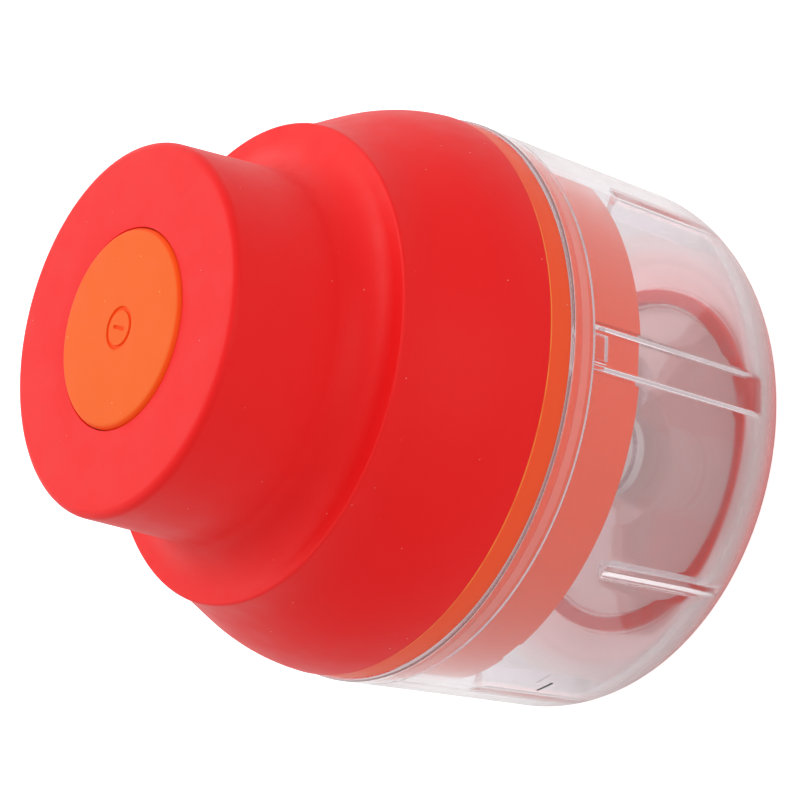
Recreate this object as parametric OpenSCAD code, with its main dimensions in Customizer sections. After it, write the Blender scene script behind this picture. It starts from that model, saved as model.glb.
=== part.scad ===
/* [Bowl] */
// Outer diameter of the bowl at its rim
bowl_d = 90; // [88:1:110]
// Height of the bowl from its underside to its rim
bowl_h = 50.4; // [48:0.2:62]
// Thickness of the bowl's side wall
bowl_wall = 2.4; // [1.8:0.1:3]
// Thickness of the bowl's floor
bowl_floor = 2.8; // [2:0.1:3.6]
// Radius of the bowl's outer base corner
base_corner_r = 13.7; // [10:0.1:17]
// Outward lean of the wall for each millimetre of height
wall_draft = 0.06; // [0.02:0.01:0.08]
// Depth of the inner shelf below the rim
shelf_depth = 4.9; // [3.6:0.1:5.6]
// Width of the inner shelf
shelf_w = 1; // [0.7:0.1:1.3]
// Radius of the rim's outer edge
rim_round = 0.5; // [0.3:0.1:0.7]
// Radius of the raised step in the middle of the floor
step_r = 9.6; // [8.5:0.1:12]
// Height of the raised step
step_h = 0.6; // [0.3:0.1:1]
// Radius of the boss on the step, under the hub
boss_r = 4.6; // [4:0.1:5]
// Height of the boss above the step
boss_h = 0.2; // [0.1:0.1:0.4]

/* [Bowl ribs] */
// Number of ribs round the wall, the key rib included
rib_count = 8; // [6:1:10]
// Angle of the key rib from the front, towards the right side
key_angle = 20.5; // [15:0.5:25]
// Width of a narrow rib
rib_w = 2.3; // [1.6:0.1:3]
// How far a narrow rib stands in from the wall
rib_depth = 2.8; // [1.5:0.1:3.4]
// Height left between the plug's lower edge and the narrow ribs
rib_gap = 4; // [0.8:0.1:5]
// Width of the key rib
key_w = 7; // [5:0.1:8]
// How far the key rib stands in from the wall
key_depth = 1.1; // [0.9:0.1:2]
// Width of the notch in the key rib's top
notch_w = 4.2; // [3:0.1:4.6]
// Height of the notch in the key rib's top
notch_h = 3.1; // [2:0.1:4]

/* [Foot ring] */
// Width of the ring
foot_w = 2.2; // [1.6:0.1:3]
// How far the ring stands below the bowl
foot_proud = 0.8; // [0.5:0.1:1.5]
// Depth of the ring's groove in the bowl
foot_groove = 1.3; // [0.8:0.1:1.4]
// Width of the clear lips beside the ring
foot_lip = 0.6; // [0.4:0.1:1]

/* [Blades] */
// Radius of the steel pin that the hub turns on
pin_r = 2; // [1.8:0.1:2.5]
// Wall of the bush on the pin
bush_wall = 1.2; // [0.8:0.1:1.4]
// Outer radius of the hub, the blade rings and the spacers
hub_r = 7; // [6.5:0.1:8]
// Wall of the hub's core round its bush
core_wall = 1.75; // [1.4:0.05:2]
// Thickness of the hub's foot
hub_foot = 1.5; // [1:0.1:2]
// Thickness of a blade
blade_t = 0.9; // [0.6:0.1:1.2]
// Height from one blade to the next
blade_pitch = 7.4; // [6:0.1:8.5]
// Tip radius of the lowest blade
lower_tip_r = 34; // [28:0.5:36]
// Tip radius of the middle blade
middle_tip_r = 27; // [22:0.5:30]
// Tip radius of the highest blade
upper_tip_r = 23; // [18:0.5:28]
// Width of the ground edge
blade_bevel = 1.3; // [0.6:0.1:2]
// Wall of the drive collar round the coupling's corners
collar_wall = 2.6; // [2:0.1:3.2]

/* [Lid plug] */
// Depth of the plug below the bowl's rim
plug_depth = 15.2; // [14:0.1:18]
// Gap between the plug and the bowl's wall
plug_gap = 0.35; // [0.3:0.05:0.6]
// Thickness of the plug's wall
plug_wall = 2.2; // [1.8:0.1:2.6]
// How far the plug's floor is set up from its lower edge
plug_recess = 2; // [1:0.1:3]
// Thickness of the plug's floor
plug_floor = 2.5; // [2:0.1:3]
// How far the collar is set in from the bowl's rim
collar_inset = 0.5; // [0.4:0.1:1.6]
// Height of the collar above the rim
collar_h = 4.15; // [3:0.05:5]
// Height of the spigot that centres the shell
spigot_h = 3; // [2:0.1:4]
// Section of the sealing ring
seal_w = 1.5; // [1.2:0.1:1.8]

/* [Shell] */
// How far the shell stands out over the collar
shell_overhang = 0.25; // [0.2:0.05:1.2]
// Height of the domed skirt of the shell
dome_h = 22.15; // [20:0.05:28]
// Radius of the dome's lower, rounded part
crown_r = 29; // [24:0.5:32]
// Radius of the hollow sweep at the dome's top
sweep_r = 20; // [14:0.5:24]
// Lean of the dome's flank
flank_lean = 25.5; // [20:0.5:28]
// Lean that is left at the dome's top edge
edge_lean = 8.5; // [4:0.5:12]
// Radius of the dome's top edge
edge_r = 1.2; // [0.8:0.1:1.5]
// Width of the shoulder between the dome's edge and the body
shoulder_w = 8.6; // [8:0.1:10]
// Radius of the waist between shoulder and body
waist_r = 6.3; // [4:0.1:6.6]
// Height of the body above the shoulder
body_h = 24.2; // [23:0.1:32]
// Inward lean of the body for each millimetre of height
body_draft = 0.023; // [0:0.001:0.03]
// Radius of the body's top edge
top_edge_r = 1.5; // [0.8:0.1:1.9]
// Thickness of the shell
shell_wall = 2.2; // [1.8:0.1:2.4]
// Thickness of the shell's top
top_wall = 2.4; // [2:0.1:2.8]

/* [Button] */
// Radius of the button
button_r = 15.5; // [12:0.1:17]
// Gap round the button
button_gap = 0.25; // [0.2:0.05:0.4]
// How far the button stands above the top
button_proud = 0.6; // [0.1:0.1:1]
// Travel of the button
button_travel = 1; // [0.6:0.1:1.2]
// Thickness of the button's face
button_face = 1.8; // [1.4:0.1:2.2]
// Radius of the button spring's coil, at the middle of its wire
spring_r = 6; // [5.5:0.1:7]
// Radius of the spring's wire
spring_wire_r = 0.4; // [0.3:0.05:0.5]
// Turns of the spring
spring_turns = 6; // [4:1:8]

/* [Motor] */
// Diameter of the motor's can
motor_d = 27.7; // [24.4:0.1:30]
// Length of the motor's can
motor_len = 31.9; // [28:0.1:33]
// Wall of the motor's can
can_wall = 1; // [0.8:0.1:1.2]
// Radius of the motor's shaft
shaft_r = 1.15; // [1:0.05:1.6]
// Spacing of the motor's two fixing screws
motor_screw_gap = 16; // [14:0.5:18]
// Thickness of the plate that carries the motor
mount_t = 2.5; // [2:0.1:3]
// Width across the coupling's flats
coupling_flats = 7.5; // [6.5:0.1:8.5]
// Radius of the coupling's round neck
neck_r = 4; // [3.8:0.1:4.4]

/* [Battery] */
// Diameter of the round lithium cell
cell_d = 18.3; // [16:0.1:18.6]
// Length of the cell
cell_len = 35; // [30:0.1:35.2]

/* [Board and charging port] */
// Thickness of the circuit board
board_t = 1.6; // [1.2:0.1:2]
// Depth of the board's underside below the top
board_drop = 17.9; // [17:0.1:18.5]
// Width of the charging socket's metal shell
usb_w = 8.94; // [8.9:0.01:9]
// Height of the charging socket's metal shell
usb_h = 3.26; // [3.2:0.01:3.3]
// Width of the port's cover
cover_w = 13.5; // [12:0.1:15]
// Height of the port's cover below its hinge line
cover_h = 8; // [7:0.1:8.4]

/* [Hidden] */
$fn = 96;

// Clearances
run_gap = 0.05;   // radial, a shaft or bore that turns
seat_gap = 0.1;   // axial, faces that rest on each other on different bodies
slip_gap = 0.03;  // radial, pieces stacked on one core
rest_gap = 0.15;  // under the collar, above the shelf and round the cover
hex_gap = 0.25;   // round the hexagonal coupling
hole_gap = 0.2;   // radial, a screw or socket in the hole it passes through

// Screws: head radius, head height, shank radius and shank length
housing_screw = [2.7, 1.7, 1.4, 12];
mount_screw = [2.2, 1.6, 1.1, mount_t + 3];
motor_screw = [2.2, 1.6, 1.25, mount_t + 2];
board_screw = [1.8, 1.4, 0.9, board_t + 5];

// Heights of the bowl
z_base = foot_proud;
z_floor = z_base + bowl_floor;
z_step = z_floor + step_h;
z_boss = z_step + boss_h;
z_pin = z_base + 1.2;
z_rim = z_base + bowl_h;
z_shelf = z_rim - shelf_depth;

// The wall is a straight line in section, and inset lines run beside it
lean = atan(wall_draft);
wall_line = bowl_d / 2 * cos(lean) - z_rim * sin(lean);
function on_wall(inset, z) = (wall_line - inset + z * sin(lean)) / cos(lean);
inner_corner_r = base_corner_r - bowl_wall;
corner = [on_wall(base_corner_r, z_base + base_corner_r), z_base + base_corner_r];
inner_corner = [on_wall(base_corner_r, z_floor + inner_corner_r), z_floor + inner_corner_r];
seat_r = on_wall(bowl_wall, z_shelf) + shelf_w;
foot_r = corner[0] - foot_lip - 0.05;
foot_in_r = foot_r - foot_w;
lip_h = 0.4;
mouth_round = 0.4;

// Heights of the lid
z_plug = z_rim - plug_depth;
z_lid = z_plug + plug_recess;
z_inside = z_lid + plug_floor;
z_seam = z_rim + rest_gap + collar_h;
collar_r = bowl_d / 2 - collar_inset;
function plug_r(z) = on_wall(bowl_wall + plug_gap, z);
plug_seat_r = seat_r - 0.3;
plug_inner_r = plug_r(z_plug) - plug_wall;
key_slot_w = key_w + 1;
key_slot_r = on_wall(bowl_wall, z_plug) - key_depth - 0.5;
key_slot_wall = 1.8;
polar_key = key_angle - 90;
edge_notch_angle = -141;
edge_notch = [4.6, 0.6];
seal_bore_r = neck_r + 3.2;
seal_gap = 0.08;
z_seal = z_shelf + 1;

// Heights of the blades and the drive
z_bush = z_boss + seat_gap;
bush_flange = [4.4, 0.8];
pin_tip = 0.6;
bush_short = 3.4; // from the bush's upper end to the pin's tip
z_hub = z_bush + bush_flange[1] + seat_gap;
bush_r = pin_r + run_gap + bush_wall;
core_bore_r = bush_r + run_gap;
core_r = core_bore_r + core_wall;
z_blade = z_hub + hub_foot;
function blade_z(i) = z_blade + i * blade_pitch;
z_collar = blade_z(2) + blade_t;
z_core = z_collar + 3.4;
core_cap = 1.6;
z_collar_top = z_lid - 2.9;
z_socket = z_core + 0.4;
z_pin_top = z_collar + 0.9;
z_coupling = z_socket + 1;
z_hex_top = z_lid - 1.6;
hex_r = coupling_flats / 2 / cos(30);
drive_collar_r = hex_r + hex_gap + collar_wall;
blade_angle = 65;

// Profile of the shell
dome_r = collar_r + shell_overhang;
seam_lean = 3;
z_tier = z_seam + dome_h;
z_top = z_tier + body_h;
crown = [dome_r - crown_r * cos(seam_lean), z_seam - crown_r * sin(seam_lean)];
crown_end = crown + crown_r * [cos(flank_lean), sin(flank_lean)];
z_sweep_end = z_tier - edge_r * (1 - sin(edge_lean));
flank_rise = z_sweep_end - crown_end[1] - sweep_r * (sin(flank_lean) - sin(edge_lean));
sweep_start = crown_end + flank_rise * [-tan(flank_lean), 1];
sweep = sweep_start + sweep_r * [cos(flank_lean), sin(flank_lean)];
tier_r = sweep[0] - sweep_r * cos(edge_lean);
body_lean = atan(body_draft);
body_line_r = tier_r - shoulder_w;
function body_r(z) = body_line_r - body_draft * (z - z_tier);
z_waist = z_tier + waist_r;
waist = [body_r(z_waist) + waist_r / cos(body_lean), z_waist];
z_top_edge = z_top - top_edge_r;
top_edge = [body_r(z_top_edge) - top_edge_r / cos(body_lean), z_top_edge];

// Inside the head
z_mount = z_inside + 2.4;
z_motor = z_mount + mount_t;
z_motor_top = z_motor + motor_len;
motor_r = motor_d / 2;
motor_boss = [5, 1.5];
bearing_r = 2.6;
magnet_t = 2.4;
rotor_r = motor_r - can_wall - magnet_t - 0.6;
winding_r = rotor_r - 1;
winding_h = 3;
commutator_r = 3.4;
brush = [3.2, 3, 3.8];
end_cap_t = 2.5;
end_spigot = 1.5;
terminal = [0.5, 3, 2.9];
terminal_y = 9;
z_shaft_top = z_motor_top + end_cap_t + 0.5;
z_shaft = z_hex_top - 4;
cell_x = motor_r + 0.6 + cell_d / 2;
z_cell = z_inside + 0.4;
cradle_r = cell_d / 2 + 0.1;
cradle_wall = 1.4;
cradle_h = 22;
tab_t = 0.3;
lead_r = 0.6;
lead_bend = 0.9;
lead_y = cradle_r + cradle_wall + lead_r + 0.3;
post_r = 3.4;
post_ring = tier_r - shell_wall / 2 - post_r;
post_angles = [45, 135, 225, 315];
z_post = z_inside + 2.3;
z_screw_head = z_lid + 0.3;
z_pilot_top = z_screw_head + housing_screw[1] + housing_screw[3] + 1;
mount_ears = [90, 180, 270];
ear_r = 3;
ear_ring = motor_r + 4.2;
motor_screw_angles = [45, 225];
z_board = z_top - board_drop;
z_board_top = z_board + board_t;
shell_inner_r = body_r(z_board) - shell_wall;
board_r = shell_inner_r - 0.6;
board_post_r = 2.6;
board_post_ring = shell_inner_r - board_post_r + 0.8;
board_post_angles = [30, 150, 270];
z_port = z_board_top + usb_h / 2;
usb_depth = 7.3;
usb_wall = 0.35;
port_wall_y = body_r(z_port) - 2;
port_pad_y = port_wall_y - 2.3;
port_pad = [18, 9.6];
board_flat_y = port_pad_y - 0.3;
z_cover_axis = z_port + 3.6;
cover_barrel_r = 0.85;
cover_foot_gap = 0.25;
cover_y = port_wall_y + rest_gap;
cover_r = body_r(z_cover_axis + 1) - 0.05;
cover_axis_y = cover_y + cover_barrel_r;
z_button_top = z_top + button_proud;
z_button_flange = z_top - top_wall - 0.35;
button_skirt = 1.6;
button_flange_t = 1.4;
button_flange_r = button_r + button_skirt;
z_button_inside = z_button_top - button_face;
spring_guide = [spring_r + 0.8, spring_r + 1.6, 1.2];
button_stem_r = 1.9;
switch_w = 6;
z_switch = z_board_top + 3.5;
z_switch_well = z_board_top + 0.8;
plunger_r = 1.75;
z_plunger = z_switch + button_travel + 0.2;

function arc(c, r, from, to, steps = 8) =
    [for (i = [0:steps]) let (a = from + (to - from) * i / steps) c + r * [cos(a), sin(a)]];
function unit(v) = v / norm(v);
function reversed(p) = [for (i = [len(p) - 1:-1:0]) p[i]];

module polar(angle, r, z = 0) rotate(angle) translate([r, 0, z]) children();

module tube(r_out, r_in, h) rotate_extrude() translate([r_in, 0]) square([r_out - r_in, h]);

// A screw whose socket head starts at z = 0 and whose shank rises from it
module screw(size) {
    difference() {
        cylinder(r = size[0], h = size[1]);
        translate([0, 0, -1]) cylinder(r = size[0] * 0.5, h = 1 + size[1] * 0.55, $fn = 6);
    }
    translate([0, 0, size[1]]) cylinder(r = size[2], h = size[3]);
}

// A path through hand-set points whose corners are rounded
function rounded_path(p, cut, steps) = let (last = len(p) - 1) concat([p[0]],
    [for (i = [1:last - 1])
        let (a = p[i] + cut * unit(p[i - 1] - p[i]), b = p[i] + cut * unit(p[i + 1] - p[i]))
        for (k = [0:steps]) let (t = k / steps)
            (1 - t) * (1 - t) * a + 2 * t * (1 - t) * p[i] + t * t * b],
    [p[last]]);

// A round tube swept along a path, closed at both ends
module swept_tube(path, r, sides, side_ref) {
    last = len(path) - 1;
    rings = [for (i = [0:last]) let (
        run = unit(path[min(i + 1, last)] - path[max(i - 1, 0)]),
        across = unit(cross(run, side_ref)),
        up = cross(run, across))
        for (k = [0:sides - 1]) path[i] + r * (cos(360 * k / sides) * across + sin(360 * k / sides) * up)];
    walls = [for (i = [0:last - 1]) for (k = [0:sides - 1]) let (
        a = i * sides + k, b = i * sides + (k + 1) % sides)
        each [[a, a + sides, b], [b, a + sides, b + sides]]];
    start_cap = [for (k = [1:sides - 2]) [0, k, k + 1]];
    end_cap = [for (k = [1:sides - 2]) [last * sides, last * sides + k + 1, last * sides + k]];
    polyhedron(rings, concat(walls, start_cap, end_cap));
}

// A rib whose foot follows the base corner and whose top edge is rounded
module rib(angle, width, depth, z_rib, edge) {
    face_r = on_wall(bowl_wall, z_rib) - depth;
    low_face_r = on_wall(bowl_wall, corner[1]) - depth;
    mid_r = base_corner_r - bowl_wall / 2;
    low_angle = -acos((low_face_r - corner[0]) / mid_r);
    rotate([0, 0, angle]) rotate([90, 0, 0]) translate([0, 0, -width / 2]) linear_extrude(width)
        polygon(concat(
            [[on_wall(bowl_wall / 2, z_rib), z_rib]],
            arc([face_r + edge, z_rib - edge], edge, 90, 180, 4),
            [[low_face_r, corner[1]]],
            arc(corner, mid_r, low_angle, -lean, 6)));
}

module bowl_shell() rotate_extrude() polygon(concat(
    [[0, z_base], [foot_in_r - foot_lip, z_base], [foot_in_r - foot_lip, z_base - lip_h],
        [foot_in_r, z_base - lip_h], [foot_in_r, z_base + foot_groove], [foot_r, z_base + foot_groove],
        [foot_r, z_base - lip_h], [foot_r + foot_lip, z_base - lip_h], [foot_r + foot_lip, z_base]],
    arc(corner, base_corner_r, -90, -lean, 14),
    arc([on_wall(rim_round, z_rim - rim_round), z_rim - rim_round], rim_round, -lean, 90, 5),
    arc([seat_r + mouth_round, z_rim - mouth_round], mouth_round, 90, 180, 4),
    [[seat_r, z_shelf], [on_wall(bowl_wall, z_shelf), z_shelf]],
    arc(inner_corner, inner_corner_r, -lean, -90, 12),
    [[step_r, z_floor], [step_r, z_step], [boss_r, z_step], [boss_r, z_boss], [pin_r, z_boss],
        [pin_r, z_pin], [0, z_pin]]));

module bowl() color([0.85, 0.86, 0.88, 0.35]) difference() {
    union() {
        bowl_shell();
        rib(polar_key, key_w, key_depth, z_shelf, 0.4);
        for (i = [1:rib_count - 1])
            rib(polar_key + 360 * i / rib_count, rib_w, rib_depth, z_plug - rib_gap, 1.2);
    }
    rotate(polar_key) translate([on_wall(bowl_wall, z_shelf - notch_h) - 0.1 - rib_depth * 2,
        -notch_w / 2, z_shelf - notch_h]) cube([rib_depth * 2, notch_w, notch_h + 1]);
}

module spindle_pin() color([0.75, 0.76, 0.78]) {
    translate([0, 0, z_pin]) cylinder(r = pin_r, h = z_pin_top - pin_tip - z_pin);
    translate([0, 0, z_pin_top - pin_tip]) cylinder(r1 = pin_r, r2 = pin_r - pin_tip, h = pin_tip);
}

module foot_ring() color([0.86, 0.22, 0.16]) rotate_extrude() polygon(concat(
    arc([foot_in_r + run_gap + 0.5, 0.5], 0.5, 180, 270, 4),
    arc([foot_r - run_gap - 0.5, 0.5], 0.5, 270, 360, 4),
    [[foot_r - run_gap, z_base + foot_groove], [foot_in_r + run_gap, z_base + foot_groove]]));

module hub_bush() color([0.72, 0.55, 0.3]) {
    bush_l = z_pin_top - bush_short - z_bush;
    translate([0, 0, z_bush]) rotate_extrude() polygon([[pin_r + run_gap, 0], [bush_flange[0], 0],
        bush_flange, [bush_r, bush_flange[1]], [bush_r, bush_l], [pin_r + run_gap, bush_l]]);
}

module blade_hub() color([0.93, 0.93, 0.92]) rotate_extrude() polygon([
    [core_bore_r, z_hub], [hub_r, z_hub], [hub_r, z_blade], [core_r, z_blade], [core_r, z_core],
    [0, z_core], [0, z_core - core_cap], [core_bore_r, z_core - core_cap]]);

// A sickle blade whose belly lies on the clockwise side and whose outer edge is ground
module blade(level, tip_r) {
    belly = 0.35 * tip_r;
    hollow = 0.13 * tip_r;
    outer_r = (tip_r * tip_r / 4 + belly * belly) / (2 * belly);
    inner_r = (tip_r * tip_r / 4 + hollow * hollow) / (2 * hollow);
    translate([0, 0, blade_z(level)]) rotate(blade_angle + 120 * level) difference() {
        union() {
            cylinder(r = hub_r, h = blade_t);
            difference() {
                translate([tip_r / 2, outer_r - belly, 0])
                    cylinder(r1 = outer_r, r2 = outer_r - blade_bevel, h = blade_t);
                translate([tip_r / 2, inner_r - hollow, -1]) cylinder(r = inner_r, h = blade_t + 2);
            }
        }
        translate([0, 0, -1]) cylinder(r = core_r + slip_gap, h = blade_t + 2);
    }
}

module lower_blade() color([0.78, 0.79, 0.81]) blade(0, lower_tip_r);

module middle_blade() color([0.78, 0.79, 0.81]) blade(1, middle_tip_r);

module upper_blade() color([0.78, 0.79, 0.81]) blade(2, upper_tip_r);

module blade_spacers() color([0.9, 0.9, 0.89]) for (i = [0:1])
    translate([0, 0, blade_z(i) + blade_t]) tube(hub_r, core_r + slip_gap, blade_pitch - blade_t);

module hub_collar() color([0.93, 0.93, 0.92]) difference() {
    translate([0, 0, z_collar]) rotate_extrude() polygon([[core_r + slip_gap, 0],
        [hub_r, 0], [drive_collar_r, 3], [drive_collar_r, z_collar_top - z_collar - 0.6],
        [drive_collar_r - 0.6, z_collar_top - z_collar], [0, z_collar_top - z_collar],
        [0, z_core - z_collar], [core_r + slip_gap, z_core - z_collar]]);
    translate([0, 0, z_socket]) cylinder(r = hex_r + hex_gap, h = z_collar_top - z_socket + 1, $fn = 6);
}

// The shell's section line, set in by w, from the seam up to the rim of the top
function shell_line(w) = let (
    z_low = z_tier - w,
    crown_from = asin((z_seam - crown[1]) / (crown_r - w)),
    sweep_to = w > 0 ? asin((sweep[1] - z_low) / (sweep_r + w)) : edge_lean)
    concat(
        arc(crown, crown_r - w, crown_from, flank_lean, 8),
        arc(sweep, sweep_r + w, 180 + flank_lean, 180 + sweep_to, 6),
        w > 0 ? [] : arc([tier_r - edge_r * cos(edge_lean), z_tier - edge_r], edge_r, edge_lean, 90, 5),
        arc(waist, waist_r + w, 270, 180 + body_lean, 9),
        w > 0 ? [[body_r(z_top - top_wall) - w, z_top - top_wall]]
            : arc(top_edge, top_edge_r, body_lean, 90, 6));

module upper_housing() color([0.87, 0.16, 0.15]) difference() {
    union() {
        rotate_extrude() polygon(concat(
            shell_line(0),
            [[button_r + button_gap, z_top], [button_r + button_gap, z_top - top_wall]],
            reversed(shell_line(shell_wall))));
        for (a = post_angles) polar(a, post_ring, z_post)
            cylinder(r = post_r, h = z_tier - shell_wall / 2 - z_post);
        for (a = board_post_angles) polar(a, board_post_ring, z_board_top)
            cylinder(r = board_post_r, h = z_top - top_wall / 2 - z_board_top);
        translate([-port_pad[0] / 2, port_pad_y, z_port - port_pad[1] / 2])
            cube([port_pad[0], body_r(z_port) - shell_wall / 2 - port_pad_y, port_pad[1]]);
    }
    for (a = post_angles) polar(a, post_ring, z_post - 1)
        cylinder(r = housing_screw[2], h = z_pilot_top - z_post + 1);
    for (a = board_post_angles) polar(a, board_post_ring, z_board_top - 1)
        cylinder(r = board_screw[2], h = board_screw[3] + 1.4);
    translate([-cover_w / 2 - rest_gap, port_wall_y, z_cover_axis - cover_h - cover_foot_gap])
        cube([cover_w + 2 * rest_gap, 10, cover_h + cover_foot_gap + cover_barrel_r + 0.3]);
    translate([0, 0, z_port]) rotate([-90, 0, 0]) usb_slot(-hole_gap, body_r(z_port));
}

module lower_housing() color([0.93, 0.37, 0.2]) difference() {
    union() {
        rotate_extrude() polygon([
            [seal_bore_r, z_lid], [plug_inner_r, z_lid], [plug_inner_r, z_plug], [plug_r(z_plug), z_plug],
            [plug_r(z_shelf), z_shelf - rest_gap], [plug_r(z_shelf), z_shelf + rest_gap],
            [plug_seat_r, z_shelf + rest_gap], [plug_seat_r, z_seal], [plug_seat_r - seal_w, z_seal],
            [plug_seat_r - seal_w, z_seal + seal_w], [plug_seat_r, z_seal + seal_w],
            [plug_seat_r, z_rim + rest_gap], [collar_r - 0.2, z_rim + rest_gap],
            [collar_r, z_rim + rest_gap + 0.2], [collar_r, z_seam],
            [dome_r - shell_wall - 0.3, z_seam], [dome_r - shell_wall - 0.5, z_seam + spigot_h],
            [dome_r - shell_wall - 2.1, z_seam + spigot_h], [plug_inner_r, z_inside + 1],
            [plug_inner_r, z_inside], [seal_bore_r, z_inside]]);
        for (a = post_angles) polar(a, post_ring, z_lid) cylinder(r = post_r + 0.9, h = z_post - z_lid);
        for (a = mount_ears) polar(a, ear_ring, z_inside - 1)
            cylinder(r = ear_r, h = z_mount - z_inside + 1);
        rotate(polar_key) translate([key_slot_r - key_slot_wall, -key_slot_w / 2 - 2, z_plug])
            cube([plug_inner_r - key_slot_r + key_slot_wall + 0.6, key_slot_w + 4, z_shelf - z_plug]);
    }
    rotate(polar_key) translate([key_slot_r, -key_slot_w / 2, z_plug - 1])
        cube([6, key_slot_w, z_shelf - z_plug + 1 + rest_gap]);
    for (a = post_angles) polar(a, post_ring) {
        translate([0, 0, z_lid - 1]) cylinder(r = housing_screw[0] + hole_gap, h = z_screw_head - z_lid + 1
            + housing_screw[1]);
        translate([0, 0, z_lid]) cylinder(r = housing_screw[2] + hole_gap, h = z_post - z_lid + 1);
    }
    for (a = mount_ears) polar(a, ear_ring, z_lid + 1) cylinder(r = mount_screw[2], h = z_mount - z_lid);
    rotate(edge_notch_angle) translate([plug_inner_r - 1, -edge_notch[0] / 2, z_plug - 1])
        cube([5, edge_notch[0], edge_notch[1] + 1]);
}

module sealing_ring() color([0.92, 0.4, 0.28]) translate([0, 0, z_seal])
    tube(plug_seat_r + rest_gap, plug_seat_r - seal_w, seal_w);

module shaft_seal() color([0.2, 0.2, 0.21]) translate([0, 0, z_lid]) rotate_extrude() polygon([
    [neck_r + seal_gap, 0], [seal_bore_r, 0], [seal_bore_r, plug_floor],
    [seal_bore_r - 1, plug_floor + 0.4], [neck_r + seal_gap, plug_floor + 0.4]]);

module housing_screws() color([0.7, 0.7, 0.72]) for (a = post_angles)
    polar(a, post_ring, z_screw_head) screw(housing_screw);

module motor_can() color([0.68, 0.69, 0.71]) translate([0, 0, z_motor]) difference() {
    rotate_extrude() polygon([[bearing_r, -motor_boss[1]], [motor_boss[0], -motor_boss[1]],
        [motor_boss[0], 0], [motor_r - 0.8, 0], [motor_r, 0.8], [motor_r, motor_len],
        [motor_r - can_wall, motor_len], [motor_r - can_wall, can_wall + 0.2],
        [bearing_r, can_wall + 0.2]]);
    for (a = motor_screw_angles) polar(a, motor_screw_gap / 2, -1) cylinder(r = motor_screw[2], h = 4);
}

module motor_end_cap() color([0.14, 0.14, 0.15]) translate([0, 0, z_motor_top]) {
    rotate_extrude() polygon([[bearing_r, -end_spigot], [motor_r - can_wall - slip_gap, -end_spigot],
        [motor_r - can_wall - slip_gap, 0], [motor_r - 0.4, 0], [motor_r - 0.4, end_cap_t - 0.8],
        [motor_r - 1.2, end_cap_t], [bearing_r, end_cap_t]]);
    for (side = [-1, 1])
        translate([-terminal[0] / 2, side * terminal_y - terminal[1] / 2, end_cap_t - 0.5]) cube(terminal);
}

module motor_magnets() color([0.25, 0.25, 0.27]) for (a = [20, 200])
    translate([0, 0, z_motor + 6]) rotate_extrude(angle = 140, start = a)
        translate([motor_r - can_wall - slip_gap - magnet_t, 0]) square([magnet_t, motor_len - 12]);

module motor_bearings() color([0.7, 0.5, 0.28]) {
    translate([0, 0, z_motor - motor_boss[1]])
        tube(bearing_r, shaft_r + run_gap, motor_boss[1] + can_wall);
    translate([0, 0, z_motor_top - end_spigot]) tube(bearing_r, shaft_r + run_gap, 3.2);
}

module brushes() color([0.5, 0.36, 0.24]) for (side = [-1, 1])
    translate([side * (commutator_r + 0.1 + brush[0] / 2) - brush[0] / 2, -brush[1] / 2,
        z_motor_top - end_spigot - 0.1 - brush[2]]) cube(brush);

module motor_mount() color([0.55, 0.56, 0.58]) translate([0, 0, z_mount]) difference() {
    union() {
        cylinder(r = motor_r + 0.2, h = mount_t);
        for (a = mount_ears) rotate(a) {
            translate([0, -ear_r, 0]) cube([ear_ring, 2 * ear_r, mount_t]);
            translate([ear_ring, 0, 0]) cylinder(r = ear_r, h = mount_t);
        }
    }
    translate([0, 0, -1]) cylinder(r = motor_boss[0] + 0.1, h = mount_t + 2);
    for (a = motor_screw_angles) polar(a, motor_screw_gap / 2, -1)
        cylinder(r = motor_screw[2] + hole_gap, h = mount_t + 2);
    for (a = mount_ears) polar(a, ear_ring, -1) cylinder(r = mount_screw[2] + hole_gap, h = mount_t + 2);
}

module mount_screws() color([0.7, 0.7, 0.72]) for (a = mount_ears)
    polar(a, ear_ring, z_mount + mount_t + mount_screw[1]) mirror([0, 0, 1]) screw(mount_screw);

module motor_screws() color([0.7, 0.7, 0.72]) for (a = motor_screw_angles)
    polar(a, motor_screw_gap / 2, z_mount - motor_screw[1]) screw(motor_screw);

module motor_shaft() color([0.8, 0.81, 0.83])
    translate([0, 0, z_shaft]) cylinder(r = shaft_r, h = z_shaft_top - z_shaft);

module rotor_core() color([0.4, 0.41, 0.44]) translate([0, 0, z_motor + 8]) difference() {
    tube(rotor_r, shaft_r, motor_len - 17);
    for (a = [0, 120, 240]) polar(a, rotor_r - 1.5, -1)
        translate([0, -0.9, 0]) cube([3, 1.8, motor_len - 14]);
}

module rotor_windings() color([0.72, 0.4, 0.18]) for (z = [z_motor + 5, z_motor_top - 9])
    translate([0, 0, z]) rotate_extrude() polygon([[shaft_r + 1, 0], [winding_r - 1, 0],
        [winding_r, 1], [winding_r, winding_h - 1], [winding_r - 1, winding_h],
        [shaft_r + 1, winding_h]]);

module commutator() color([0.76, 0.46, 0.22])
    translate([0, 0, z_motor_top - end_spigot - 4.1]) tube(commutator_r, shaft_r, 4);

module drive_coupling() color([0.93, 0.93, 0.92]) difference() {
    union() {
        translate([0, 0, z_coupling]) cylinder(r = hex_r, h = z_hex_top - z_coupling, $fn = 6);
        translate([0, 0, z_hex_top]) cylinder(r = neck_r, h = z_mount - 0.5 - z_hex_top);
    }
    translate([0, 0, z_shaft]) cylinder(r = shaft_r, h = z_mount - z_shaft + 1);
}

module battery_cell() color([0.22, 0.45, 0.72]) translate([cell_x, 0, z_cell]) {
    cylinder(r = cell_d / 2, h = cell_len - 0.8);
    translate([0, 0, cell_len - 0.8]) cylinder(r = cell_d * 0.3, h = 0.8);
}

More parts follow.
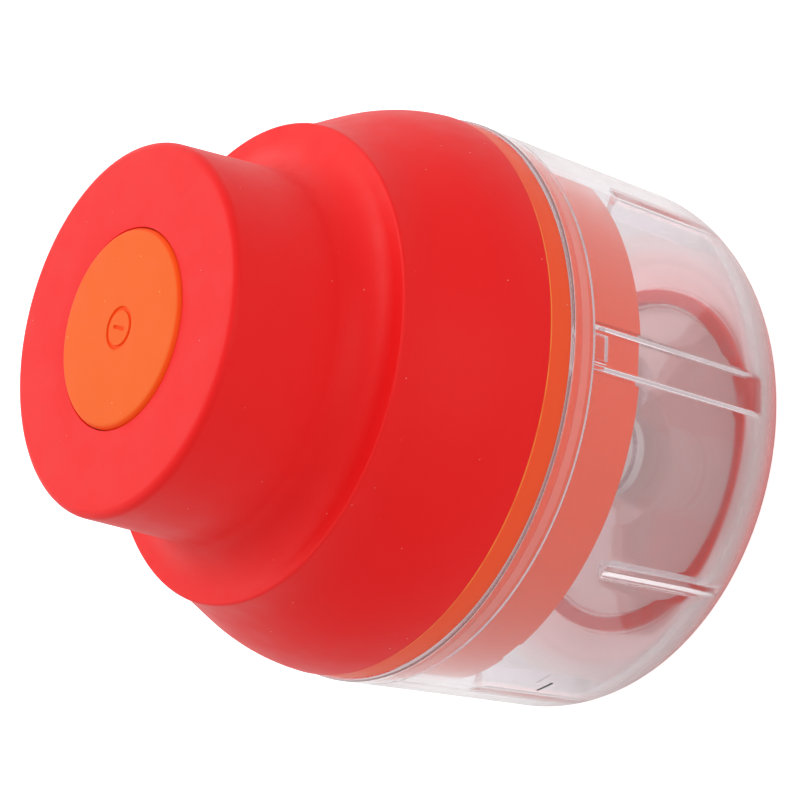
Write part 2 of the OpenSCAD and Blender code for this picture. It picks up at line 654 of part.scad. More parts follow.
module battery_tabs() color([0.78, 0.78, 0.75]) {
    translate([cell_x - 3, -6, z_cell - tab_t]) cube([6, 6 + lead_y + 1, tab_t]);
    translate([cell_x - 5, -3, z_cell + cell_len]) cube([8, 6, tab_t]);
}

module battery_cradle() color([0.16, 0.16, 0.17]) difference() {
    union() {
        translate([cell_x, 0, z_inside]) tube(cradle_r + cradle_wall, cradle_r, cradle_h);
        translate([cell_x + cell_d / 2 - 1, -4, z_inside]) cube([5, 8, 3]);
    }
    translate([0, 0, z_inside - 1]) cylinder(r = motor_r + 1.6, h = cradle_h + 2);
    translate([cell_x, 0, z_inside - 1]) cylinder(r = cradle_r, h = cradle_h + 2);
    translate([cell_x - 3.5, -30, z_inside - 1]) cube([7, 60, 4]);
}

// A lead that rises from its terminal, crosses over and ends square under the board
module lead(foot, rise, head, drop) {
    path = [foot, foot + [0, 0, rise], [head[0], head[1], z_board - drop],
        [head[0], head[1], z_board - 0.05]];
    swept_tube(rounded_path(path, lead_bend, 4), lead_r, 8, [0, 1, 0]);
}

module battery_leads() color([0.8, 0.12, 0.1]) {
    z_tab = z_cell + cell_len + tab_t;
    lead([cell_x - 4, 1.5, z_tab], 2.5, [cell_x - 5, 5.5], 2.5);
    lead([cell_x, lead_y, z_cell], z_tab - z_cell + 0.5, [cell_x - 5.5, 8.5], 2.5);
}

module motor_leads() color([0.15, 0.25, 0.7]) for (side = [-1, 1])
    lead([-terminal[0] / 2 - lead_r, side * terminal_y, z_motor_top + end_cap_t], 1.4,
        [-5.2, side * (terminal_y + 1)], 1.3);

module circuit_board() color([0.1, 0.36, 0.22]) translate([0, 0, z_board]) difference() {
    cylinder(r = board_r, h = board_t);
    translate([-board_r, board_flat_y, -1]) cube([2 * board_r, board_r, board_t + 2]);
    for (a = board_post_angles) polar(a, board_post_ring, -1)
        cylinder(r = board_screw[2] + hole_gap, h = board_t + 2);
}

module board_components() color([0.12, 0.12, 0.13]) {
    for (p = [[-16, -3, 5, 6], [10.5, -9, 4, 4], [-14, -12, 6, 3.4], [12, 3, 3, 5], [-12, 8, 3.2, 2.4]])
        translate([p[0], p[1], z_board_top]) cube([p[2], p[3], 1.4]);
    translate([7.5, 16.5, z_board_top]) cube([3, 1.6, 1.1]);
}

module board_screws() color([0.7, 0.7, 0.72]) for (a = board_post_angles)
    polar(a, board_post_ring, z_board - board_screw[1]) screw(board_screw);

module switch_body() color([0.15, 0.15, 0.16]) difference() {
    translate([-switch_w / 2, -switch_w / 2, z_board_top])
        cube([switch_w, switch_w, z_switch - z_board_top]);
    translate([0, 0, z_switch_well]) cylinder(r = plunger_r + run_gap, h = 5);
}

module switch_plunger() color([0.8, 0.8, 0.78]) {
    z_low = z_switch_well + 0.1 + button_travel;
    translate([0, 0, z_low]) cylinder(r = plunger_r, h = z_plunger - z_low);
}

// The outline of the charging socket, pushed back along Y
module usb_slot(inset, depth) {
    for (side = [-1, 1]) translate([side * (usb_w - usb_h) / 2, 0, 0])
        cylinder(r = usb_h / 2 - inset, h = depth);
    translate([-(usb_w - usb_h) / 2, inset - usb_h / 2, 0])
        cube([usb_w - usb_h, usb_h - 2 * inset, depth]);
}

module usb_socket() color([0.76, 0.77, 0.79]) translate([0, port_wall_y - 0.3, z_port]) {
    rotate([90, 0, 0]) difference() {
        usb_slot(0, usb_depth);
        translate([0, 0, -1]) usb_slot(usb_wall, usb_depth - 0.5);
    }
    translate([-3.3, 1 - usb_depth, -0.35]) cube([6.6, 5.6, 0.7]);
}

module port_cover() color([0.84, 0.15, 0.14]) intersection() {
    union() {
        translate([-cover_w / 2, cover_y, z_cover_axis - cover_h]) cube([cover_w, 4, cover_h]);
        translate([-cover_w / 2, cover_axis_y, z_cover_axis]) rotate([0, 90, 0])
            cylinder(r = cover_barrel_r, h = cover_w);
    }
    cylinder(r = cover_r, h = z_top);
}

module button_cap() color([0.96, 0.45, 0.26]) {
    edge = 0.6;
    rotate_extrude() polygon(concat(
        [[0, z_button_top]],
        arc([button_r - edge, z_button_top - edge], edge, 90, 0, 4),
        [[button_r, z_button_flange], [button_flange_r, z_button_flange],
            [button_flange_r, z_button_flange - button_flange_t],
            [button_r - button_skirt, z_button_flange - button_flange_t],
            [button_r - button_skirt, z_button_inside], [spring_guide[1], z_button_inside],
            [spring_guide[1], z_button_inside - spring_guide[2]],
            [spring_guide[0], z_button_inside - spring_guide[2]],
            [spring_guide[0], z_button_inside], [button_stem_r, z_button_inside],
            [button_stem_r, z_plunger], [0, z_plunger]]));
}

module button_spring() color([0.75, 0.76, 0.78]) {
    turn_steps = 12;
    low = z_board_top + spring_wire_r + 0.05;
    rise = z_button_inside - spring_wire_r - 0.05 - low;
    last = spring_turns * turn_steps;
    swept_tube([for (i = [0:last]) [spring_r * cos(360 * i / turn_steps),
        spring_r * sin(360 * i / turn_steps), low + rise * i / last]], spring_wire_r, 6, [0, 0, 1]);
}

bowl();
spindle_pin();
foot_ring();
hub_bush();
blade_hub();
lower_blade();
middle_blade();
upper_blade();
blade_spacers();
hub_collar();
upper_housing();
lower_housing();
sealing_ring();
shaft_seal();
housing_screws();
motor_can();
motor_end_cap();
motor_magnets();
motor_bearings();
brushes();
motor_mount();
mount_screws();
motor_screws();
motor_shaft();
rotor_core();
rotor_windings();
commutator();
drive_coupling();
battery_cell();
battery_tabs();
battery_cradle();
battery_leads();
motor_leads();
circuit_board();
board_components();
board_screws();
switch_body();
switch_plunger();
usb_socket();
port_cover();
button_cap();
button_spring();
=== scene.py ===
import math

import bpy
from mathutils import Matrix, Vector


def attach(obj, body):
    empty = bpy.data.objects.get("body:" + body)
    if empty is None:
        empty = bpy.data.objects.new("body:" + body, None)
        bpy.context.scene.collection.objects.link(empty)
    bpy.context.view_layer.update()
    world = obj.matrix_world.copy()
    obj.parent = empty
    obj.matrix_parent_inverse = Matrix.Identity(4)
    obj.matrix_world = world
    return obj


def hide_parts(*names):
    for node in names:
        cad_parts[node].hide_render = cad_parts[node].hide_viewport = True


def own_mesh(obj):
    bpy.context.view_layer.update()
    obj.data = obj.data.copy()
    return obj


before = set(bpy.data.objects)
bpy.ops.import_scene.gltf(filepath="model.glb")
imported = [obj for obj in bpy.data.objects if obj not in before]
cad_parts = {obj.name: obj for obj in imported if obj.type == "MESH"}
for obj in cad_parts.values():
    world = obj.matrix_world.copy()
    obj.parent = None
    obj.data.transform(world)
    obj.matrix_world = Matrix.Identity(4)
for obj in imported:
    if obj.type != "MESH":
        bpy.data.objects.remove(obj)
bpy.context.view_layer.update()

MM = 0.001

# Main sizes, in millimetres and degrees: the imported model's, rounded, apart from the tier's EDGE
BASE_Z = 0.8
FLOOR_Z = 3.6
STEP_Z = 4.2
BOSS_Z = 4.4
BOSS_R = 4.6
RIM_Z = 51.2
RIM_R = 45
WALL = 2.4
WALL_SLOPE = 0.06
LEAN = math.degrees(math.atan(WALL_SLOPE))
SHELF_Z = 46.3
SEAT_R = 43.3
CORNER_Z = 14.5
CORNER_R = 13.7
INNER_CORNER_Z = 14.9
INNER_CORNER_R = 11.3
KEY_TURN = -69.5
PLUG_Z = 36
LID_Z = 38
INSIDE_Z = 40.5
SEAM_Z = 55.5
COLLAR_R = 44.5
TIER_Z = 77.65
EDGE = 0.5
BODY_R = 29.4867
BODY_SLOPE = 0.023
TOP_Z = 101.85
BOARD_Z = 85.55
SPRING_Z = 85.6
BUTTON_R = 15.5
BUTTON_Z = 102.45
BUTTON_INSIDE_Z = 100.65


def cosd(degrees):
    """Cosine of an angle in degrees."""
    return math.cos(math.radians(degrees))


def sind(degrees):
    """Sine of an angle in degrees."""
    return math.sin(math.radians(degrees))


def wall_r(inset, z):
    """Radius of the bowl's leaning wall at a height, set in by some distance."""
    return RIM_R - WALL_SLOPE * (RIM_Z - z) - inset / cosd(LEAN)


def body_r(z):
    """Radius of the upper body at a height."""
    return BODY_R - BODY_SLOPE * (z - TIER_Z)


# Drawing and shaping

TOUCHING = 1e-6
SMALL_BEND = 1
BEND_STEP = 9
SMALL_BEND_STEP = 18


def only(piece):
    """Select one piece and nothing else."""
    bpy.ops.object.select_all(action="DESELECT")
    piece.select_set(True)
    bpy.context.view_layer.objects.active = piece


def arc(centre, radius, first, last, steps):
    """Points of an arc in a section, between two angles in degrees."""
    turns = [math.radians(first + (last - first) * i / steps) for i in range(steps + 1)]
    return [(centre[0] + radius * math.cos(t), centre[1] + radius * math.sin(t)) for t in turns]


def rounded(corners):
    """A section line whose corners, given as (r, z, radius), are rounded."""
    line = []
    for i, (r, z, bend) in enumerate(corners):
        if not bend:
            line.append((r, z))
            continue
        here = Vector((r, z))
        before = (Vector(corners[i - 1][:2]) - here).normalized()
        after = (Vector(corners[(i + 1) % len(corners)][:2]) - here).normalized()
        half = before.angle(after) / 2
        centre = here + (before + after).normalized() * bend / math.sin(half)
        start = here + before * bend / math.tan(half) - centre
        end = here + after * bend / math.tan(half) - centre
        span = math.degrees(start.angle(end))
        first = math.degrees(math.atan2(start.y, start.x))
        side = math.copysign(1, start.x * end.y - start.y * end.x)
        steps = max(2, round(span / (SMALL_BEND_STEP if bend < SMALL_BEND else BEND_STEP)))
        line += arc(centre, bend, first, first + side * span, steps)
    return line


def name_piece(piece, name):
    """Name a piece and its mesh alike."""
    piece.name = name
    piece.data.name = name


def draw_section(name, line, turn=0):
    """Draw a section line point by point and leave it selected in edit mode."""
    bpy.ops.object.select_all(action="DESELECT")
    bpy.ops.mesh.primitive_plane_add(size=MM)
    piece = bpy.context.object
    name_piece(piece, name)
    bpy.ops.object.mode_set(mode="EDIT")
    bpy.ops.mesh.merge(type="CENTER")
    across = Vector((cosd(turn), sind(turn), 0))
    places = [(across * r + Vector((0, 0, z))) * MM for r, z in line]
    bpy.ops.transform.translate(value=places[0])
    for here, there in zip(places, places[1:]):
        bpy.ops.mesh.extrude_region_move(TRANSFORM_OT_translate={"value": there - here})
    bpy.ops.mesh.select_all(action="SELECT")
    return piece


def sweep_round(degrees, steps):
    """Turn what is selected about the upright axis, counter-clockwise from above."""
    bpy.ops.mesh.spin(steps=steps, angle=-math.radians(degrees), center=(0, 0, 0), axis=(0, 0, 1))


def close_up(smooth=30):
    """Merge what meets, point the faces outwards and leave edit mode."""
    bpy.ops.mesh.select_all(action="SELECT")
    bpy.ops.mesh.remove_doubles(threshold=TOUCHING)
    bpy.ops.mesh.normals_make_consistent(inside=False)
    bpy.ops.object.mode_set(mode="OBJECT")
    bpy.ops.object.shade_smooth_by_angle(angle=math.radians(smooth))


def lathe(name, line, steps=180):
    """A piece turned from a section line that closes on itself or on the axis."""
    piece = draw_section(name, line)
    sweep_round(360, steps)
    close_up()
    return piece


def peg(radius, low, high, at, sides=40):
    """An upright round tool between two heights."""
    bpy.ops.object.select_all(action="DESELECT")
    bpy.ops.mesh.primitive_cylinder_add(vertices=sides, radius=radius * MM, depth=(high - low) * MM,
                                        location=(at[0] * MM, at[1] * MM, (low + high) / 2 * MM))
    return bpy.context.object


def polar(angle, radius):
    """A place around the upright axis, in millimetres."""
    return (radius * cosd(angle), radius * sind(angle))


def pegs(radius, low, high, circle, sides=40):
    """Equal pegs on a circle, given as its radius and its angles."""
    return [peg(radius, low, high, polar(angle, circle[0]), sides) for angle in circle[1]]


def slab(size, centre, turn=0, edge=0, along=None):
    """A box tool whose edges along one axis may be rounded."""
    bpy.ops.object.select_all(action="DESELECT")
    bpy.ops.mesh.primitive_cube_add(size=1, location=[c * MM for c in centre],
                                    rotation=(0, 0, math.radians(turn)),
                                    scale=[s * MM for s in size])
    tool = bpy.context.object
    bpy.ops.object.transform_apply(location=True, rotation=True, scale=True)
    if edge:
        bpy.ops.object.mode_set(mode="EDIT")
        bpy.ops.mesh.select_all(action="DESELECT")
        bpy.ops.object.mode_set(mode="OBJECT")
        points = tool.data.vertices
        for line in tool.data.edges:
            run = points[line.vertices[0]].co - points[line.vertices[1]].co
            line.select = along is None or abs(run.normalized()[along]) > 0.99
        bpy.ops.object.mode_set(mode="EDIT")
        bpy.ops.mesh.select_mode(type="EDGE")
        bpy.ops.mesh.bevel(offset=edge * MM, segments=6, affect="EDGES")
        bpy.ops.mesh.select_mode(type="VERT")
        bpy.ops.object.mode_set(mode="OBJECT")
    return tool


def combine(piece, tools, how):
    """Fuse tools to a piece, or cut them out of it, and remove them."""
    for tool in tools:
        only(piece)
        change = piece.modifiers.new("combine", "BOOLEAN")
        change.operation = how
        change.solver = "EXACT"
        change.object = tool
        bpy.ops.object.modifier_apply(modifier=change.name)
        bpy.data.objects.remove(tool)


def smooth_again(piece, smooth=30):
    """Clean up a cut or joined piece and shade it smooth up to an angle."""
    only(piece)
    bpy.ops.object.mode_set(mode="EDIT")
    close_up(smooth)


# The clear bowl with its eight ribs

SLACK = 0.01
SECTOR = 45
RIB_R = 42
RIB_EASE = 0.2
THIN = 0.5
NARROW_TOP = 32
NARROW_DEPTH = 2.8
NARROW_HALF = 1.15
NARROW_FLANK = 0.6
KEY_DEPTH = 1.1
KEY_HALF = 3.5
KEY_FLANK = 0.9
KEY_EDGE = 0.3
NOTCH_Z = SHELF_Z - 3.1
NOTCH_HALF = 1.95
NOTCH_FLANK = 0.3
NOTCH_REACH = 2.4


def inner_r(z):
    """Radius of the bowl's inner surface between the floor and the shelf."""
    if z > INNER_CORNER_Z - INNER_CORNER_R * sind(LEAN):
        return wall_r(WALL, z)
    drop = INNER_CORNER_Z - z
    return wall_r(CORNER_R, INNER_CORNER_Z) + math.sqrt(max(0, INNER_CORNER_R ** 2 - drop ** 2))


def ramp(share):
    """A slope from 0 to 1 whose two ends are eased."""
    if share < RIB_EASE:
        return max(0, share + RIB_EASE) ** 2 / (4 * RIB_EASE)
    if share > 1 - RIB_EASE:
        return 1 - max(0, 1 + RIB_EASE - share) ** 2 / (4 * RIB_EASE)
    return share


def below_top(z, top, edge, root, depth):
    """Depth of a rib near its upper end, with a rounded edge above and a fillet behind."""
    if z >= top + root:
        return 0
    if z > top - 0.001:
        return root - math.sqrt(max(0, root ** 2 - (top + root - z) ** 2))
    if z > top - edge:
        return depth - edge + math.sqrt(max(0, edge ** 2 - (z - top + edge) ** 2))
    return depth


def in_corner(z, depth):
    """Depth of a rib whose face drops straight down in the base corner and runs out thin."""
    if z < CORNER_Z:
        depth = max(0, inner_r(z) - wall_r(WALL, CORNER_Z) + depth)
    if depth < THIN:
        return THIN * (depth / THIN) ** 1.6
    return depth


def narrow_rib(x, z):
    """Depth of one of the seven thin ribs, at a distance from its middle and a height."""
    upper = below_top(z, NARROW_TOP, edge=1.2, root=0.4, depth=NARROW_DEPTH)
    return min(upper, in_corner(z, NARROW_DEPTH)) * ramp((NARROW_HALF - x) / NARROW_FLANK)


def key_rib(x, z):
    """Depth of the broad flat rib with a notch in its upper end."""
    upper = below_top(z, SHELF_Z + 0.1, edge=KEY_EDGE, root=0, depth=KEY_DEPTH)
    depth = min(upper, in_corner(z, KEY_DEPTH))
    if z > SHELF_Z - SLACK:
        depth = KEY_DEPTH - KEY_EDGE
    outer = depth * ramp((KEY_HALF - x) / KEY_FLANK)
    if x > NOTCH_REACH or z < NOTCH_Z - 0.4:
        return outer
    beside = depth * ramp((x - NOTCH_HALF) / NOTCH_FLANK)
    return max(below_top(z, NOTCH_Z, edge=KEY_EDGE, root=0.25, depth=KEY_DEPTH), min(outer, beside))


# Heights of the rows of points on the inner wall, then how far its columns are from a rib's middle
INNER_ROWS = (
    [SHELF_Z - drop for drop in (0.15, 0.3, 0.4, 0.7, 1.4, 2.2)]
    + [NOTCH_Z + rise for rise in (0.25, 0.12, 0.03, 0, -0.01, -0.08, -0.2, -0.3)]
    + [42, 40.5, 39, 37.5, 36, 34.5, 33.2]
    + [NARROW_TOP + rise for rise in (0.4, 0.2, 0.06, 0, -0.01, -0.09, -0.35, -0.74, -1.2)]
    + [29.5, 28, 26, 24, 22, 20, 18.5, 17, 16, 14.9]
)
COLUMNS = {
    "narrow": [1.27, 1.21, 1.15, 1.09, 1.03, 0.85, 0.67, 0.61, 0.55, 0.49, 0.43, 0.2],
    "key": [3.68, 3.59, 3.5, 3.41, 3.32, 3.05, 2.78, 2.69, 2.6, 2.51, 2.42, 2.31, 2.28, 2.25, 2.22,
            2.19, 2.1, 2.01, 1.98, 1.95, 1.92, 1.89, 1.3, 0.6],
}
GROOVE_R = wall_r(CORNER_R, CORNER_Z) - 0.65
GROOVE_IN_R = GROOVE_R - 2.2
GROOVE_Z = BASE_Z + 2.3
LIP_R = GROOVE_R + 0.6
LIP_IN_R = GROOVE_R - 2.8
LIP_Z = 0.4
RIM_BEND = 0.5
MOUTH_BEND = 0.4
SHELF_R = wall_r(WALL, SHELF_Z)
PIN_HOLE_R = 2.02
PIN_HOLE_Z = 1.98
BOWL_LINE = (
    rounded([(0, BASE_Z, 0), (LIP_IN_R, BASE_Z, 0.12), (LIP_IN_R, LIP_Z, 0.15),
             (GROOVE_IN_R, LIP_Z, 0.15), (GROOVE_IN_R, GROOVE_Z, 0.2), (GROOVE_R, GROOVE_Z, 0.2),
             (GROOVE_R, LIP_Z, 0.15), (LIP_R, LIP_Z, 0.15), (LIP_R, BASE_Z, 0)])
    + arc((wall_r(CORNER_R, CORNER_Z), CORNER_Z), CORNER_R, -90, -LEAN, 36)
    + [(wall_r(0, z), z) for z in (20, 26, 32, 38, 44, 48)]
    + arc((wall_r(RIM_BEND, RIM_Z - RIM_BEND), RIM_Z - RIM_BEND), RIM_BEND, -LEAN, 90, 8)
    + arc((SEAT_R + MOUTH_BEND, RIM_Z - MOUTH_BEND), MOUTH_BEND, 90, 180, 6)
    + rounded([(SEAT_R, 49, 0), (SEAT_R, SHELF_Z, 0.2), (SHELF_R, SHELF_Z, 0)])[:-1]
    + [(SHELF_R + 0.15, SHELF_Z), (SHELF_R + 0.04, SHELF_Z - 0.04)]
    + [(wall_r(WALL, z), z) for z in INNER_ROWS]
    + arc((wall_r(CORNER_R, INNER_CORNER_Z), INNER_CORNER_Z), INNER_CORNER_R, -LEAN, -90, 32)
    + rounded([(16, FLOOR_Z, 0), (11.2, FLOOR_Z, 4), (8, STEP_Z, 4), (BOSS_R, STEP_Z, 0.05),
               (BOSS_R, BOSS_Z, 0.1), (PIN_HOLE_R, BOSS_Z, 0), (PIN_HOLE_R, PIN_HOLE_Z, 0),
               (0, PIN_HOLE_Z, 0)])
)


def push_in(piece, centre, rib):
    """Push the inner wall in where a rib stands, and leave the points off that wall."""
    rib_end_r = 28
    for point in piece.data.vertices:
        r = math.hypot(point.co.x, point.co.y) / MM
        z = point.co.z / MM
        if r < rib_end_r or not FLOOR_Z + SLACK <= z <= SHELF_Z + SLACK:
            continue
        if not -0.05 < r - inner_r(z) < 0.17:
            continue
        turn = math.degrees(math.atan2(point.co.y, point.co.x)) - centre
        turn = (turn + 180) % 360 - 180
        depth = rib(abs(math.radians(turn)) * RIB_R, z)
        point.co.x *= (r - depth) / r
        point.co.y *= (r - depth) / r


def bowl_sector(kind, centre, rib):
    """An eighth of the bowl with one rib in its middle."""
    half = [math.degrees(x / RIB_R) for x in COLUMNS[kind]]
    fine = [-a for a in half] + [0] + half[::-1]
    coarse = 9
    plain = [SECTOR / 2 - (SECTOR / 2 - half[0]) * i / coarse for i in range(coarse)]
    turns = [-a for a in plain] + fine + plain[::-1]
    piece = draw_section("bowl_" + kind, BOWL_LINE, centre - SECTOR / 2)
    for here, there in zip(turns, turns[1:]):
        sweep_round(there - here, 1)
    bpy.ops.object.mode_set(mode="OBJECT")
    push_in(piece, centre, rib)
    return piece


def clear_bowl():
    """The bowl, made of seven equal sectors and the one with the broad rib."""
    piece = bowl_sector("narrow", KEY_TURN + SECTOR, narrow_rib)
    bpy.ops.object.mode_set(mode="EDIT")
    bpy.ops.mesh.select_all(action="SELECT")
    bpy.ops.mesh.spin(steps=6, dupli=True, angle=-math.radians(6 * SECTOR), center=(0, 0, 0),
                      axis=(0, 0, 1))
    bpy.ops.object.mode_set(mode="OBJECT")
    key = bowl_sector("key", KEY_TURN, key_rib)
    only(piece)
    key.select_set(True)
    bpy.ops.object.join()
    name_piece(piece, "clear_bowl")
    smooth_again(piece, 40)
    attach(piece, "bowl")
    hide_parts("bowl")
    return piece


def base_ring():
    """The soft ring under the bowl, set a little into the walls of its groove."""
    bite = 0.02
    near = GROOVE_IN_R - bite
    far = GROOVE_R + bite
    top = GROOVE_Z + bite
    line = rounded([(near, 0, 0.5), (far, 0, 0.5), (far, top, 0.2), (near, top, 0.2)])
    piece = lathe("base_ring", line + line[:1])
    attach(piece, "bowl")
    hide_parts("foot_ring")
    return piece


def level_mark():
    """A short printed line on the outside of the bowl."""
    low = 23.45
    high = 23.95
    back = -0.01
    face = -0.04
    first = -153
    line = [(wall_r(back, low), low), (wall_r(face, low), low), (wall_r(face, high), high),
            (wall_r(back, high), high), (wall_r(back, low), low)]
    piece = draw_section("level_mark", line, first)
    sweep_round(5, 4)
    bpy.ops.mesh.select_all(action="SELECT")
    bpy.ops.mesh.remove_doubles(threshold=TOUCHING)
    bpy.ops.mesh.fill_holes(sides=8)
    close_up()
    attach(piece, "bowl")
    return piece


# The lid: red shell, orange plug, button and charging flap

CROWN_BEND = 29
CROWN_START = 3
CROWN_STOP = 25.5
SWEEP_BEND = 20
SWEEP_STOP = 8.5
WAIST_BEND = 6.3
TOP_BEND = 1.5
SHELL_WALL = 2.2
TOP_WALL = 2.4
PLUG_INSET = 2.75
PLUG_WALL = 2.2
BORE_R = 7.2
POST_Z = INSIDE_Z + 2.3
CROWN = (COLLAR_R + 0.25 - CROWN_BEND * cosd(CROWN_START), SEAM_Z - CROWN_BEND * sind(CROWN_START))
EDGE_END_Z = TIER_Z - EDGE * (1 - sind(SWEEP_STOP))
CROWN_END = (CROWN[0] + CROWN_BEND * cosd(CROWN_STOP), CROWN[1] + CROWN_BEND * sind(CROWN_STOP))
FLANK = EDGE_END_Z - CROWN_END[1] - SWEEP_BEND * (sind(CROWN_STOP) - sind(SWEEP_STOP))
SWEEP = (CROWN_END[0] - FLANK * math.tan(math.radians(CROWN_STOP)) + SWEEP_BEND * cosd(CROWN_STOP),
         CROWN_END[1] + FLANK + SWEEP_BEND * sind(CROWN_STOP))
TIER_R = SWEEP[0] - SWEEP_BEND * cosd(SWEEP_STOP)
BODY_LEAN = math.degrees(math.atan(BODY_SLOPE))
WAIST = (body_r(TIER_Z + WAIST_BEND) + WAIST_BEND / cosd(BODY_LEAN), TIER_Z + WAIST_BEND)
TOP_EDGE = (body_r(TOP_Z - TOP_BEND) - TOP_BEND / cosd(BODY_LEAN), TOP_Z - TOP_BEND)

# Circles of posts and screws, as a radius and the angles on it
HOUSING_POSTS = (33.59, (45, 135, 225, 315))
BOARD_POSTS = (25.3, (30, 150, 270))
MOUNT_BOSSES = (18.05, (90, 180, 270))

# The charging inlet and its flap
PORT_Z = 87.18
PAD_Y = 24.97
RECESS_Y = 27.27
RECESS_Z = 87.23
FLAP_Y = 27.42
FLAP_FACE_R = 29.11
FLAP_WIDTH = 13.5
FLAP_HEIGHT = 8
HINGE_Y = 28.27
HINGE_Z = 90.78
BARREL_R = 0.85


def shell_outside():
    """The shell's section from the seam up to the edge of its flat top."""
    crown_from = math.degrees(math.asin((SEAM_Z + 0.15 - CROWN[1]) / CROWN_BEND))
    return (
        [(CROWN[0] + CROWN_BEND * cosd(CROWN_START) - 0.12, SEAM_Z)]
        + arc(CROWN, CROWN_BEND, crown_from, CROWN_STOP, 28)
        + arc(SWEEP, SWEEP_BEND, 180 + CROWN_STOP, 180 + SWEEP_STOP, 18)
        + arc((TIER_R - EDGE * cosd(SWEEP_STOP), TIER_Z - EDGE), EDGE, SWEEP_STOP, 90, 8)
        + arc(WAIST, WAIST_BEND, 270, 180 + BODY_LEAN, 24)
        + [(body_r(z), z) for z in (86, 89, 92, 95, 98)]
        + arc(TOP_EDGE, TOP_BEND, BODY_LEAN, 90, 12)
    )


def shell_inside():
    """The shell's inner line, from the seam up to the underside of its top."""
    crown = CROWN_BEND - SHELL_WALL
    sweep = SWEEP_BEND + SHELL_WALL
    crown_from = math.degrees(math.asin((SEAM_Z - CROWN[1]) / crown))
    sweep_to = math.degrees(math.asin((SWEEP[1] - TIER_Z + SHELL_WALL) / sweep))
    under_top = TOP_Z - TOP_WALL
    return (
        arc(CROWN, crown, crown_from, CROWN_STOP, 12)
        + arc(SWEEP, sweep, 180 + CROWN_STOP, 180 + sweep_to, 8)
        + arc(WAIST, WAIST_BEND + SHELL_WALL, 270, 180 + BODY_LEAN, 10)
        + [(body_r(under_top) - SHELL_WALL, under_top)]
    )


def housing_shell():
    """The red shell with its screw posts, the board's posts and the opening for charging."""
    hole = BUTTON_R + 0.12
    edge = rounded([(19, TOP_Z, 0), (hole, TOP_Z, 0.12), (hole, TOP_Z - TOP_WALL, 0)])
    line = shell_outside() + edge + shell_inside()[::-1]
    piece = lathe("housing_shell", line + line[:1])
    posts = pegs(3.4, POST_Z, TIER_Z - 1.1, HOUSING_POSTS)
    posts += pegs(2.6, BOARD_Z, TOP_Z - 1.2, BOARD_POSTS)
    posts.append(slab((18, 3.3, 9.6), (0, PAD_Y + 1.65, PORT_Z)))
    combine(piece, posts, "UNION")
    holes = pegs(1.4, INSIDE_Z + 1.3, 53, HOUSING_POSTS, 24)
    holes += pegs(0.9, 84, 92.5, BOARD_POSTS, 24)
    holes.append(slab((13.8, 6, 9.4), (0, RECESS_Y + 3, RECESS_Z), edge=0.5, along=1))
    holes.append(slab((9.34, 8, 3.66), (0, 25, PORT_Z), edge=1.8, along=1))
    combine(piece, holes, "DIFFERENCE")
    smooth_again(piece)
    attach(piece, "head")
    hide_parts("upper_housing")
    return piece


def lid_plug():
    """The orange plug with its collar, key slot, screw recesses and bosses."""
    seat = SEAT_R - 0.3
    seal = SHELF_Z + 1
    side = wall_r(PLUG_INSET, PLUG_Z)
    inner = side - PLUG_WALL
    upper = wall_r(PLUG_INSET, SHELF_Z)
    spigot_z = 58.5
    line = rounded([
        (BORE_R, LID_Z, 0.2), (inner, LID_Z, 0.4), (inner, PLUG_Z, 0.3), (side, PLUG_Z, 0.3),
        (upper, SHELF_Z - 0.15, 0.1), (upper, SHELF_Z + 0.15, 0), (seat, SHELF_Z + 0.15, 0.15),
        (seat, seal, 0), (seat - 1.5, seal, 0), (seat - 1.5, seal + 1.5, 0), (seat, seal + 1.5, 0),
        (seat, RIM_Z + 0.15, 0), (COLLAR_R, RIM_Z + 0.15, 0.25), (COLLAR_R, SEAM_Z, 0.15),
        (42.25, SEAM_Z, 0), (42.05, spigot_z, 0.3), (40.45, spigot_z, 0.3), (inner, INSIDE_Z + 1, 0),
        (inner, INSIDE_Z, 0), (BORE_R, INSIDE_Z, 0)])
    piece = lathe("lid_plug", line + line[:1])
    slot_r = wall_r(WALL, PLUG_Z) - 1.6
    middle = (SHELF_Z + PLUG_Z) / 2
    bosses = pegs(4.3, LID_Z + 0.5, POST_Z, HOUSING_POSTS)
    bosses += pegs(3, INSIDE_Z - 1, INSIDE_Z + 2.4, MOUNT_BOSSES)
    bosses.append(slab((1.4, 12, SHELF_Z - PLUG_Z), polar(KEY_TURN, slot_r - 1.1) + (middle,), KEY_TURN,
                       edge=0.4, along=2))
    combine(piece, bosses, "UNION")
    middle = (SHELF_Z + PLUG_Z - 0.85) / 2
    cuts = [slab((6, 8, SHELF_Z - PLUG_Z + 1.15), polar(KEY_TURN, slot_r + 3) + (middle,), KEY_TURN,
                 edge=0.4, along=2)]
    cuts += pegs(2.9, LID_Z - 1, LID_Z + 2, HOUSING_POSTS)
    cuts += pegs(1.6, LID_Z + 1, INSIDE_Z + 3, HOUSING_POSTS, 24)
    cuts += pegs(1.1, LID_Z + 1, INSIDE_Z + 3, MOUNT_BOSSES, 24)
    notch_turn = -141
    cuts.append(slab((5, 4.6, 1.6), polar(notch_turn, side - 0.7) + (PLUG_Z - 0.2,), notch_turn))
    combine(piece, cuts, "DIFFERENCE")
    smooth_again(piece)
    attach(piece, "head")
    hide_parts("lower_housing")
    return piece


